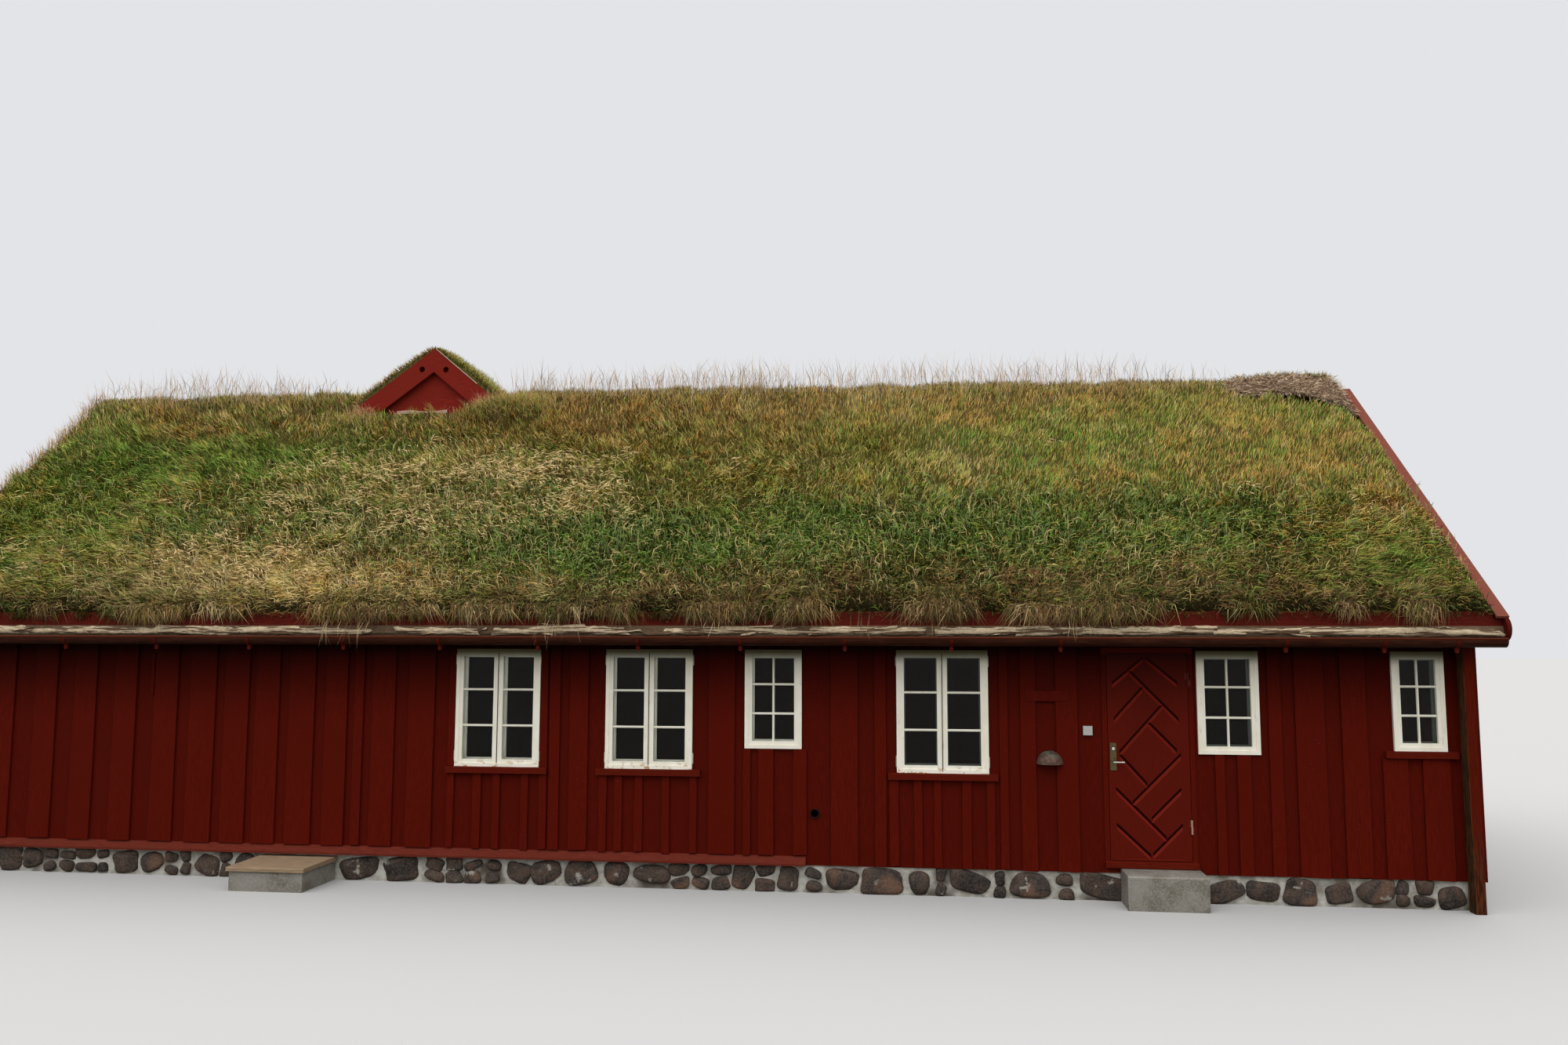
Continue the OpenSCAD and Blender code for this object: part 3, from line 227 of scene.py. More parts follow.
def white_paint():
    """Off-white frames: yellowed, cracked, rusty at the foot, with painted shade at the top under the eaves and inside
    at the right.
    """
    f = Finish("white_paint", 0.5, sheen=0.05)
    clouds = f.noise(7, (1, 1, 0.5), 4)
    colour = f.between(clouds, 0.3, 0.75, (0.98, 0.94, 0.83), (0.89, 0.84, 0.70))
    colour = f.over(colour, (0.25, 0.21, 0.15), f.step(f.noise(30, (1, 1, 0.25), 6, 0.7), 0.60, 0.68), 0.25)
    low = f.step(f.axis("Z"), FOOT_Z + 1.06, FOOT_Z + 0.97)
    patch = f.step(f.noise(9, (1, 1, 1.4), 5, 0.65), 0.55, 0.60)
    colour = f.over(colour, (0.42, 0.19, 0.05), low, patch, 0.85)
    # Painted shade: the frames darken to brown towards their tops under the eaves
    colour = f.over(colour, (0.075, 0.055, 0.004), f.step(f.axis("Z"), FRAME_TOP - 0.15, FRAME_TOP - 0.01), 0.93)
    # Painted shade on the inner frames behind the glass of the front wall's right part
    inside = f.step(f.axis("Y"), FRONT_Y + 0.02, FRONT_Y + 0.04)
    front = f.step(f.axis("Y"), 1.0, 0.0)
    colour = f.over(colour, (0.06, 0.06, 0.05), inside, front, f.step(f.axis("X"), 2.6, 3.2), 0.9)
    return f.paint(colour, clouds, 0.0015, 0.5, f.ramp(clouds, (0.3, 0.4), (0.7, 0.6)))


def glass():
    f = Finish("window_glass", 0.02, sheen=0.5)
    f.shader["Transmission Weight"].default_value = 1.0
    f.shader["IOR"].default_value = 1.18
    ripple = f.noise(5, (1, 1, 0.7), 2)
    return f.paint(f.mix(ripple, (0.88, 0.92, 0.90), (0.93, 0.96, 0.94)), ripple, 0.002, 0.15)


def steel(name, bright, dull, rough):
    f = Finish(name, rough, 1.0, 0.5)
    wear = f.noise(40, (1, 1, 3), 4)
    worn = f.ramp(wear, (0.3, rough - 0.08), (0.7, rough + 0.12))
    return f.paint(f.between(wear, 0.3, 0.7, dull, bright), wear, 0.0006, 0.3, worn)


def hinge_finish():
    """Flaps painted over with the door; the upper barrel dark with paint, the lower one worn bright."""
    f = Finish("hinge_paint", 0.5, sheen=0.1)
    wear = f.noise(40, (1, 1, 3), 4)
    from_pin = f.math("ABSOLUTE", f.math("SUBTRACT", f.axis("X"), PIN_X))
    barrel = f.between(f.axis("Z"), 1.3, 1.6, (0.42, 0.26, 0.20), (0.050, 0.012, 0.008))
    colour = f.between(from_pin, 0.010, 0.013, barrel, (0.095, 0.0068, 0.0034))
    return f.paint(f.between(wear, 0.62, 0.7, colour, (0.16, 0.07, 0.045)), wear, 0.0006, 0.3)


def rubble():
    f = Finish("lime_mortar", 0.9)
    lumps = f.noise(9, (1, 1, 1), 6, 0.6)
    colour = f.between(lumps, 0.3, 0.7, (0.30, 0.28, 0.24), (0.58, 0.56, 0.51))
    stain = f.noise(2.2, (1, 1, 1), 3)
    return f.paint(f.between(stain, 0.48, 0.66, colour, (0.11, 0.09, 0.07)), lumps, 0.02, 0.8)


def field_stone():
    f = Finish("field_stone", 0.85)
    grit = f.noise(45, (1, 1, 1), 6, 0.65)
    colour = f.ramp(f.noise(3.1, (1, 1, 1), 1), (0.30, (0.020, 0.016, 0.014)), (0.45, (0.075, 0.048, 0.036)),
                    (0.58, (0.034, 0.027, 0.024)), (0.72, (0.13, 0.070, 0.045)))
    colour = f.mix(f.step(grit, 0.35, 0.7), colour, (0.055, 0.048, 0.042), "ADD")
    return f.paint(f.between(f.noise(6), 0.64, 0.70, colour, (0.36, 0.34, 0.30)), grit, 0.006, 0.7)


def concrete():
    f = Finish("old_concrete", 0.9)
    grit = f.noise(50, (1, 1, 1), 8, 0.7)
    colour = f.between(f.noise(3, (1, 1, 1), 4), 0.35, 0.65, (0.15, 0.13, 0.10), (0.27, 0.25, 0.22))
    return f.paint(f.between(grit, 0.4, 0.75, colour, (0.34, 0.33, 0.30)), grit, 0.004, 0.6)


def bark(name, pale, brown):
    """Birch bark: cream with brown dashes along the roll and torn dark edges."""
    f = Finish(name, 0.7)
    dashes = f.noise(6, (3, 30, 30), 5, 0.7)
    colour = f.between(dashes, 0.44, 0.66, pale, brown)
    colour = f.between(f.noise(2.6, (1, 16, 16), 4), 0.47, 0.57, colour, (0.13, 0.078, 0.045))
    ticks = f.step(f.noise(7, (34, 2, 2), 3, 0.6), 0.57, 0.66)
    return f.paint(f.over(colour, (0.13, 0.075, 0.042), ticks, 0.7), dashes, 0.006, 0.7)


def sod():
    f = Finish("sod", 0.95)
    fibres = f.noise(*SOD_FIBRES)
    colour = f.ramp(fibres, (0.28, (0.020, 0.016, 0.006)), (0.48, (0.11, 0.09, 0.030)),
                    (0.62, (0.20, 0.18, 0.050)), (0.8, (0.36, 0.27, 0.11)))
    patches = f.step(f.noise(1.3, (1, 1, 1), 4), 0.4, 0.6)
    return f.paint(f.mix(patches, colour, (0.85, 1.0, 0.7), "MULTIPLY"), fibres, 0.03, 0.9)


def dry_roots():
    f = Finish("dry_roots", 0.95, sheen=0.05)
    fibres = f.noise(30, (0.5, 1.0, 1.6), 8, 0.8)
    colour = f.ramp(fibres, (0.30, (0.020, 0.013, 0.008)), (0.48, (0.19, 0.12, 0.075)),
                    (0.60, (0.38, 0.27, 0.17)), (0.75, (0.58, 0.44, 0.31)))
    return f.paint(colour, fibres, 0.03, 1.0)


def toned(name, roughness, sheen, texture, stops, depth, strength):
    """Takes its colour from the mesh, point by point, and shades it with fine noise."""
    f = Finish(name, roughness, sheen=sheen)
    tone = f.node("Attribute", {}, "Color", attribute_name="tone")
    fibres = f.noise(*texture)
    return f.paint(f.mix(1.0, tone, f.ramp(fibres, *stops), "MULTIPLY"), fibres, depth, strength)


def plain(name, light, dark, rough, sheen=0.12):
    f = Finish(name, rough, sheen=sheen)
    spots = f.noise(20, (1, 1, 1), 5)
    return f.paint(f.between(spots, 0.3, 0.7, dark, light), spots, 0.001, 0.4)


def copper_lamp():
    f = Finish("lamp_copper", 0.5, 0.35)
    spots = f.noise(26, (1, 1, 1), 5)
    low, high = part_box("wall_lamp")
    colour = f.between(spots, 0.3, 0.7, (0.086, 0.046, 0.034), (0.17, 0.109, 0.086))
    top = f.step(f.axis("Z"), low.z + 0.05, high.z)
    return f.paint(f.over(colour, (0.115, 0.172, 0.127), top, f.step(spots, 0.42, 0.6)), spots, 0.001, 0.4)


def gutter_paint():
    f = Finish("gutter_paint", 0.55, sheen=0.04)
    streaks = f.noise(5, (1, 9, 9), 5)
    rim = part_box("gutter_front")[1].z
    colour = f.between(streaks, 0.35, 0.7, (0.027, 0.0072, 0.0038), (0.050, 0.0153, 0.0077))
    # Painted highlight: the rolled bead along the top is a lighter red
    colour = f.between(f.axis("Z"), rim - 0.024, rim - 0.014, colour, (0.112, 0.0235, 0.0104))
    return f.paint(colour, streaks, 0.001, 0.4)


def corner_post_paint():
    """Bright red on the front, worn to brown wood down the inner edge and at the foot."""
    f = Finish("corner_post_paint", 0.55, sheen=0.02)
    streaks = f.noise(8, GRAIN_UP, 6)
    edge = f.math("ADD", f.math("ABSOLUTE", f.axis("X")), f.math("MULTIPLY", streaks, 0.03))
    post_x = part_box("corner_posts")[1].x - 0.1
    foot = f.step(f.math("ADD", f.axis("Z"), f.math("MULTIPLY", streaks, 1.6)), 1.75, 1.15)
    red = f.between(streaks, 0.3, 0.7, (0.078, 0.0062, 0.0019), (0.109, 0.0097, 0.0033))
    brown = f.between(streaks, 0.35, 0.65, (0.020, 0.010, 0.005), (0.10, 0.05, 0.022))
    colour = f.over(red, brown, foot, 0.6)
    return f.paint(f.between(edge, post_x + 0.030, post_x + 0.014, colour, brown), streaks, 0.003, 0.6)


TIMBER_TONES = ((0.30, 0.21, 0.12), (0.13, 0.085, 0.05))
BATTEN = red_wood("red_outer_boards", (0.1136, 0.0078, 0.0032), (0.08, 0.0054, 0.0022), 0.8)
SILL = red_wood("sill_red", (0.124, 0.0112, 0.0048), (0.084, 0.0072, 0.003), 0.5, GRAIN_ALONG)
GABLET_RED = red_wood("gablet_red", (0.2401, 0.0224, 0.0141), (0.1697, 0.0145, 0.0099), 0.4, GRAIN_ALONG)
TIMBER = raw_wood("roof_timber", *TIMBER_TONES, GRAIN_ALONG)
WHITE = white_paint()
LEVER = steel("lever_steel", (0.72, 0.70, 0.66), (0.50, 0.48, 0.44), 0.25)
GAP = plain("casement_gap", (0.10, 0.075, 0.05), (0.04, 0.03, 0.02), 0.8)
STONE = field_stone()
# Darker bark under and between the pale strips; its darkness is also painted shade in the gaps between them
BARK = bark("birch_bark", (0.17, 0.115, 0.070), (0.060, 0.038, 0.022))
BARK_PALE = bark("birch_bark_pale", (0.75, 0.62, 0.43), (0.34, 0.22, 0.125))
SOD = sod()
SOD_BED = toned("sod_bed", 0.95, 0.04, SOD_FIBRES, ((0.28, 0.25), (0.48, 0.8), (0.62, 1.0)), 0.03, 0.9)
GRASS = toned("grass", 0.6, 0.06, (70, (1, 1, 1), 2), ((0.2, 0.78), (0.8, 1.18)), 0.001, 0.3)
HEADS = plain("pale_seed_heads", (1.0, 0.77, 0.42), (0.74, 0.53, 0.26), 0.8, 0.04)
PALE_STRIP = raw_wood("pale_strip", (0.62, 0.45, 0.36), (0.42, 0.27, 0.20), GRAIN_ALONG)
ROOTS = dry_roots()

# Each finish and the nodes of the frame that wear it
FINISHES = (
    (rubble(), "plinth_long_walls plinth_gable_walls"),
    (concrete(), "door_step hatch_curb"),
    (raw_wood("weathered_lid", (0.42, 0.30, 0.19), (0.19, 0.13, 0.08), GRAIN_ALONG), "hatch_lid"),
    (TIMBER, "floor ledgers roof_deck_front roof_deck_back gablet_deck"),
    (raw_wood("rafter_timber", *TIMBER_TONES, GRAIN_ACROSS), "tie_beams rafters"),
    (red_wood("red_wall_boards", (0.0976, 0.0066, 0.0026), (0.0688, 0.0045, 0.0019), 0.5),
     "front_wall_left front_wall_over_door front_wall_right back_wall left_gable_wall right_gable_wall"),
    (BATTEN, "corner_boards door_jambs"),
    (corner_post_paint(), "corner_posts"),
    (red_wood("red_trim", (0.1598, 0.0294, 0.0181), (0.102, 0.0164, 0.0102), 0.6, GRAIN_ALONG), "base_boards"),
    (WHITE, "front_windows back_windows gable_windows"),
    (glass(), "window_glass"),
    (SILL, "window_sills door_head threshold"),
    (hinge_finish(), "frame_hinges leaf_hinges"),
    (red_wood("door_red", (0.1168, 0.009, 0.0042), (0.092, 0.007, 0.0032), 0.15, GRAIN_UP, 0.42, 0.03, True),
     "door_leaf"),
    (steel("lock_brass", (0.150, 0.118, 0.058), (0.085, 0.064, 0.030), 0.5), "lock_plates"),
    (LEVER, "lever_handles"),
    (BARK, "birch_bark_front birch_bark_back"),
    (red_wood("faded_red_board", (0.135, 0.0162, 0.0103), (0.0765, 0.0086, 0.0052), 0.7, GRAIN_ALONG), "turf_boards"),
    (gutter_paint(), "gutter_front gutter_back"),
    (red_wood("hook_red", (0.102, 0.0115, 0.0064), (0.068, 0.0072, 0.0041), 0.3, GRAIN_ALONG), "gutter_hooks"),
    (red_wood("barge_red", (0.1008, 0.0099, 0.0054), (0.072, 0.007, 0.004), 0.5, GRAIN_ACROSS), "barge_boards"),
    (red_wood("faded_verge", (0.245, 0.078, 0.052), (0.150, 0.036, 0.024), 0.5, GRAIN_ACROSS), "verge_caps"),
    (GABLET_RED, "gablet_walls gablet_barge_boards"),
    (copper_lamp(), "wall_lamp"),
    (plain("pale_plastic", (0.5068, 0.5237, 0.4814), (0.4476, 0.4561, 0.4139), 0.5), "bell_box"),
    (plain("name_board_red", (0.088, 0.0064, 0.0032), (0.068, 0.0048, 0.0026), 0.45, 0.02), "name_board"),
    (plain("vent_black", (0.012, 0.010, 0.010), (0.006, 0.006, 0.006), 0.6), "vent_sleeve"),
)
for finish, wearers in FINISHES:
    for wearer in wearers.split():
        nodes[wearer].data.materials.clear()
        nodes[wearer].data.materials.append(finish)


# Meshes
def put_in_scene(name, data):
    made = bpy.data.objects.new(name, data)
    bpy.context.scene.collection.objects.link(made)
    return made


def settle(name, mesh, body="house"):
    piece = put_in_scene(name, mesh)
    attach(piece, body)
    return piece


class Batch:
    """Collects the faces of one piece."""

    def __init__(self):
        self.points = []
        self.faces = []

    def add(self, points, faces):
        start = len(self.points)
        self.points.extend(points)
        self.faces.extend([start + i for i in face] for face in faces)

    def rings(self, rings):
        """Skins a row of equal rings, with both ends shut."""
        n = len(rings[0])
        last = (len(rings) - 1) * n
        faces = [(k + i, k + (i + 1) % n, k + n + (i + 1) % n, k + n + i) for k in range(0, last, n) for i in range(n)]
        faces += [tuple(range(n)), tuple(range(last, last + n))]
        self.add([p for ring in rings for p in ring], faces)

    def piece(self, name, material, slot, body="house", smooth=False):
        mesh = bpy.data.meshes.new(name)
        mesh.from_pydata(self.points, [], self.faces)
        work = bmesh.new()
        work.from_mesh(mesh)
        bmesh.ops.recalc_face_normals(work, faces=work.faces)
        work.to_mesh(mesh)
        work.free()
        mesh.materials.append(material)
        if smooth:
            mesh.polygons.foreach_set("use_smooth", [True] * len(mesh.polygons))
        return settle(name, mesh, body)


class Wall:
    """One of the four walls: u runs along it to the right as seen from outside, out is away from it."""

    def __init__(self, name, windows, x, y, along, away):
        self.name = name
        self.windows = windows
        self.x, self.y = x, y
        self.along, self.away = along, away

    def place(self, u, out, z):
        return tuple(c + a * u + b * out for c, a, b in zip((self.x, self.y), self.along, self.away)) + (z,)

    def u(self, p):
        return self.along[0] * (p.x - self.x) + self.along[1] * (p.y - self.y)

    def out(self, p):
        return self.away[0] * (p.x - self.x) + self.away[1] * (p.y - self.y)

    def own(self, name):
        """Those of a node's separate solids that are on this wall."""
        return [(low, high) for low, high in islands(name) if self.out((low + high) / 2) > -0.3]


FRONT = Wall("front", "front_windows", 0, FRONT_Y, (1, 0), (0, -1))
BACK = Wall("back", "back_windows", 0, BACK_Y, (-1, 0), (0, 1))
RIGHT = Wall("right", "gable_windows", RIGHT_X, RIDGE_Y, (0, 1), (1, 0))
LEFT = Wall("left", "gable_windows", LEFT_X, RIDGE_Y, (0, -1), (-1, 0))

# Outer boards
BOARD_T = 0.027
BOARD_EDGE = 0.004
BOARD_PITCH = 0.47
WANDER = 0.003
RAGGED = 0.010
HEAD_GAP = 0.004
SKIP_SHORT = 0.10
board_random = np.random.default_rng(11)
FRONT_BOARDS = [
    (-8.42, -8.16), (-7.93, -7.66), (-7.44, -7.17), (-7.25, -7.0), (-6.748, -6.478), (-6.258, -5.991),
    (-5.762, -5.497), (-5.281, -4.999), (-4.849, -4.542), (-4.431, -4.144), (-4.061, -3.786),
    (-3.667, -3.366), (-3.239, -2.985), (-2.904, -2.796), (-2.697, -2.433), (-2.277, -1.98),
    (-1.816, -1.737), (-1.524, -1.430), (-1.301, -1.218), (-0.984, -0.902), (-0.786, -0.700),
    (-0.677, -0.561), (-0.456, -0.249), (-0.122, -0.037), (0.051, 0.135), (0.266, 0.357),
    (0.564, 0.648), (0.863, 0.942), (1.061, 1.347), (1.437, 1.514), (1.595, 1.759), (1.967, 2.113),
    (2.365, 2.649), (2.823, 2.942), (2.974, 3.069), (3.225, 3.311), (3.429, 3.509), (3.719, 3.815),
    (3.971, 4.054), (4.108, 4.195), (4.321, 4.478), (4.678, 4.898), (6.247, 6.338), (6.459, 6.593),
    (6.775, 6.905), (7.035, 7.320), (7.475, 7.720), (7.852, 8.089), (8.225, 8.487)
]
SHORT_BATTEN = (-5.330, -5.290, 2.00, 2.45)


def upright_board(batch, wall, u0, u1, z0, z1):
    """One outer board with softened edges that wander a little, its foot cut by hand."""
    slant = board_random.uniform(-RAGGED, RAGGED)
    thick = BOARD_T + board_random.uniform(-0.002, 0.002)
    rings = []
    for k, z in enumerate(np.linspace(z0, z1, 4)):
        a = u0 + board_random.uniform(-WANDER, WANDER)
        b = u1 + board_random.uniform(-WANDER, WANDER)
        tilt = slant if k == 0 else 0.0
        soft_a, soft_b, soft = a + BOARD_EDGE, b - BOARD_EDGE, thick - BOARD_EDGE
        outline = [(a, 0), (a, soft), (soft_a, thick), (soft_b, thick), (b, soft), (b, 0)]
        rings.append([wall.place(u, out, z + tilt * (u - a) / (b - a)) for u, out in outline])
    batch.rings(rings)


def free_spans(u0, u1, z0, z1, blocks):
    """The heights over which a board of this width meets no window or sill."""
    spans = [(z0, z1)]
    for low_u, high_u, low_z, high_z in blocks:
        if u1 <= low_u + 0.004 or u0 >= high_u - 0.004:
            continue
        cut = []
        for a, b in spans:
            cut += [(a, min(b, low_z - HEAD_GAP)), (max(a, high_z + HEAD_GAP), b)]
        spans = [(a, b) for a, b in cut if b - a > SKIP_SHORT]
    return spans


def board_row(u0, u1):
    """Outer boards at an uneven spacing, from one end of a wall to the other."""
    count = round((u1 - u0) / BOARD_PITCH)
    pitch = (u1 - u0) / count
    for k in range(count):
        middle = u0 + (k + 0.5) * pitch + board_random.uniform(-0.02, 0.02)
        half = board_random.uniform(0.118, 0.142)
        yield middle - half, middle + half


def clad(wall, boards, base_end=math.inf):
    """Outer boards on one wall. They stand on the base board as far as it runs."""
    blocks = []
    for low, high in wall.own(wall.windows) + wall.own("window_sills"):
        blocks.append((*sorted((wall.u(low), wall.u(high))), low.z, high.z))
    batch = Batch()
    for u0, u1 in boards:
        if wall in (FRONT, BACK):
            top = roof_z(HALF_W + BOARD_T + 0.005, -DECK_T) - 0.012
        else:
            top = roof_z(max(abs(u0), abs(u1)), -DECK_T) - 0.015
        foot = (BASE_TOP if u0 < base_end else FOOT_Z) + board_random.uniform(0.002, 0.012)
        for a, b in free_spans(u0, u1, foot, top, blocks):
            upright_board(batch, wall, u0, u1, a, b)
    if wall is FRONT:
        upright_board(batch, wall, *SHORT_BATTEN)
    batch.piece(wall.name + "_outer_boards", BATTEN, "red_boards")


clad(FRONT, FRONT_BOARDS, max(h.x for _, h in islands("base_boards") if h.y < 0 and h.x < RIGHT_X - 1))
clad(BACK, board_row(LEFT_X + 0.22, RIGHT_X - 0.22))
clad(RIGHT, board_row(-HALF_W + 0.15, HALF_W - 0.15))
clad(LEFT, board_row(-HALF_W + 0.15, HALF_W - 0.15))

# Windows
BAR_W = 0.025
BAR_ROWS = (0.326, 0.675)
BAR_OUT = 0.020
BAR_SLANT = 0.006
IRON_ARM = 0.075
IRON_W = 0.014
IRON_T = 0.003
HINGE_W = 0.010
HINGE_H = 0.11
GAP_HALF = 0.0045


def bar(batch, wall, u0, u1, z0, z1, back, out):
    """A glazing bar whose front is narrower than its back."""
    n, m = (BAR_SLANT, 0) if z1 - z0 > u1 - u0 else (0, BAR_SLANT)
    batch.rings([
        [wall.place(u, back, z) for u, z in ((u0, z0), (u1, z0), (u1, z1), (u0, z1))],
        [wall.place(u, out, z) for u, z in ((u0 + n, z0 + m), (u1 - n, z0 + m), (u1 - n, z1 - m), (u0 + n, z1 - m))],
    ])


def corner_iron(batch, wall, u, z, side, up, out):
    """A flat angle iron on the corner of a casement."""
    outline = [(0, 0), (IRON_ARM, 0), (IRON_ARM, IRON_W), (IRON_W, IRON_W), (IRON_W, IRON_ARM), (0, IRON_ARM)]
    batch.rings([[wall.place(u + side * a, out + t, z + up * b) for a, b in outline] for t in (0.0, IRON_T)])


def glaze(wall):
    """Glazing bars for the panes of one wall, and irons on its casements."""
    bars, irons, gaps = Batch(), Batch(), Batch()
    panes = wall.own("window_glass")
    for low, high in wall.own(wall.windows):
        u0, u1 = sorted((wall.u(low), wall.u(high)))
        own = [p for p in panes if u0 < wall.u((p[0] + p[1]) / 2) < u1]
        for p_low, p_high in own:
            a, b = sorted((wall.u(p_low), wall.u(p_high)))
            face = max(wall.out(p_low), wall.out(p_high))
            for share in BAR_ROWS:
                z = p_high.z - share * (p_high.z - p_low.z)
                bar(bars, wall, a, b, z - BAR_W / 2, z + BAR_W / 2, face, face + BAR_OUT)
            if len(own) == 1:
                m0, m1 = (a + b - BAR_W) / 2, (a + b + BAR_W) / 2
                bar(bars, wall, m0, m1, p_low.z, p_high.z, face, face + BAR_OUT - 0.001)
        if len(own) == 2:
            out = max(wall.out(low), wall.out(high))
            for u, side in ((u0 + 0.004, 1), (u1 - 0.004, -1)):
                corner_iron(irons, wall, u, high.z - 0.006, side, -1, out)
                corner_iron(irons, wall, u, low.z + 0.006, side, 1, out)
            for u in (u0 - HINGE_W, u1):
                for z in (high.z - 0.06 - HINGE_H, low.z + 0.06):
                    bar(irons, wall, u, u + HINGE_W, z, z + HINGE_H, 0.0, out)
            m = (u0 + u1) / 2
            bar(gaps, wall, m - GAP_HALF, m + GAP_HALF, low.z + 0.012, high.z - 0.012, out - 0.002, out + 0.0006)
    bars.piece(wall.name + "_glazing_bars", WHITE, "white_paint")
    irons.piece(wall.name + "_casement_irons", WHITE, "white_paint")
    gaps.piece(wall.name + "_casement_gaps", GAP, "white_paint")


for wall in (FRONT, BACK, RIGHT, LEFT):
    glaze(wall)

# The thumb knob over the lever, on the lock plate outside the door
KNOB_Z = 1.519
KNOB_SIDES = 20
KNOB_SECTION = ((-0.0165, 0.0225), (-0.008, 0.0235), (-0.004, 0.019), (0.003, 0.018), (0.006, 0.013))
PLATE_LOW, PLATE_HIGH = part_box("lock_plates")
KNOB_X = (PLATE_LOW.x + PLATE_HIGH.x) / 2
turns = [2 * math.pi * k / KNOB_SIDES for k in range(KNOB_SIDES)]
knob = Batch()
knob.rings([
    [FRONT.place(KNOB_X + r * math.cos(a), FRONT_Y - PLATE_LOW.y + out, KNOB_Z + r * math.sin(a)) for a in turns]
    for out, r in KNOB_SECTION
])
knob.piece("thumb_knob", LEVER, "steel", "door", smooth=True)

# Plinth stones
stone_random = np.random.default_rng(5)
PLINTH_LOW, PLINTH_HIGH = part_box("plinth_long_walls")
PLINTH_HALF = (PLINTH_HIGH.y - PLINTH_LOW.y) / 2
SETBACK = PLINTH_LOW.y - FRONT_Y
STONE_DEPTH = 0.05


def ball(divisions):
    work = bmesh.new()
    bmesh.ops.create_icosphere(work, subdivisions=divisions, radius=1.0)
    points = np.array([v.co[:] for v in work.verts])
    faces = [[v.index for v in f.verts] for f in work.faces]
    work.free()
    return points, faces


def stone(batch, wall, u, z, half_u, half_z, out, shape):
    """A fieldstone bedded in the plinth's face: a lumpy flattened ball."""
    points, faces = shape
    phase = stone_random.uniform(0, 6.28, 3)
    lump = 1 + 0.13 * np.sin(2.3 * points[:, 0] + phase[0]) + 0.10 * np.sin(3.1 * points[:, 2] + phase[1])
    lump = lump + 0.05 * np.sin(5.3 * points[:, 1] + phase[2])
    shaped = np.sign(points) * np.abs(points) ** 0.62 * lump[:, None]
    spin = stone_random.uniform(-0.35, 0.35)
    a = shaped[:, 0] * half_u
    c = shaped[:, 2] * half_z
    us = u + a * math.cos(spin) - c * math.sin(spin)
    zs = np.clip(z + a * math.sin(spin) + c * math.cos(spin), 0.004, FOOT_Z - 0.004)
    outs = np.minimum(out + shaped[:, 1] * STONE_DEPTH, 0.055)
    batch.add([wall.place(*p) for p in zip(us, outs, zs)], faces)


def stone_wall(wall, u0, u1, shape, gaps=()):
    """Stones of two sizes side by side, the small ones in two rows, with none behind the hatch and the step."""
    batch = Batch()
    u = u0
    while u < u1:
        big = stone_random.random() < 0.6
        half = stone_random.uniform(0.11, 0.25) if big else stone_random.uniform(0.06, 0.12)
        middle = u + half
        if middle + half < u1 and not any(a < middle < b for a, b in gaps):
            for row in ((0.50,) if big else (0.24, 0.74)):
                z = FOOT_Z * (row + stone_random.uniform(-0.06, 0.06))
                half_z = FOOT_Z * stone_random.uniform(0.8, 1.1) * (0.44 if big else 0.23)
                at = middle + stone_random.uniform(-0.01, 0.01)
                stone(batch, wall, at, z, half * 0.97, half_z, -SETBACK - 0.012, shape)
        u += 2 * half + stone_random.uniform(0.0, 0.05)
    batch.piece(wall.name + "_plinth_stones", STONE, "rubble_stone", smooth=True)


HIDDEN = [(low.x - 0.05, high.x + 0.05) for low, high in (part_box("hatch_lid"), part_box("door_step"))]
SMALL_BALL = ball(2)
stone_wall(FRONT, PLINTH_LOW.x, PLINTH_HIGH.x, ball(3), HIDDEN)
stone_wall(BACK, PLINTH_LOW.x, PLINTH_HIGH.x, SMALL_BALL)
stone_wall(RIGHT, -PLINTH_HALF, PLINTH_HALF, SMALL_BALL)
stone_wall(LEFT, -PLINTH_HALF, PLINTH_HALF, SMALL_BALL)

# Birch bark strips along the eaves
bark_random = np.random.default_rng(23)
BARK_T = 0.005
BARK_AROUND = 6
BARK_STEP = 0.05
BARK_PAST_WALL = 0.15
SIDES = (("front", 1), ("back", -1))


def bark_strip(batch, side, x0, x1, z, height, out, curl, tilt):
    """A torn strip of bark that lies along the eaves, its ends cut off at a slant."""
    count = max(3, int((x1 - x0) / BARK_STEP))
    rings = []
    slants = bark_random.uniform(-0.7, 0.7, 2) * height
    drift = bark_random.uniform(-0.010, 0.010)
    for k in range(count + 1):
        t = k / count
        half = height / 2 + bark_random.uniform(-0.007, 0.007)
        middle = z + (drift + tilt * (x1 - x0)) * (t - 0.5) * 2 + bark_random.uniform(-0.004, 0.004)
        outer = []
        inner = []
        for s in (-1 + 2 * i / (BARK_AROUND - 1) for i in range(BARK_AROUND)):
            x = x0 + t * (x1 - x0) + s * (slants[0] * (1 - t) + slants[1] * t)
            bulge = curl * (1 - s * s) + bark_random.uniform(-0.0012, 0.0012)
            outer.append((x, out + BARK_T + bulge, middle + s * half))
            inner.append((x, out + bulge * 0.8, middle + s * half * 0.97))
        rings.append([(px, RIDGE_Y - side * (REACH + po), pz) for px, po, pz in outer + inner[::-1]])
    batch.rings(rings)


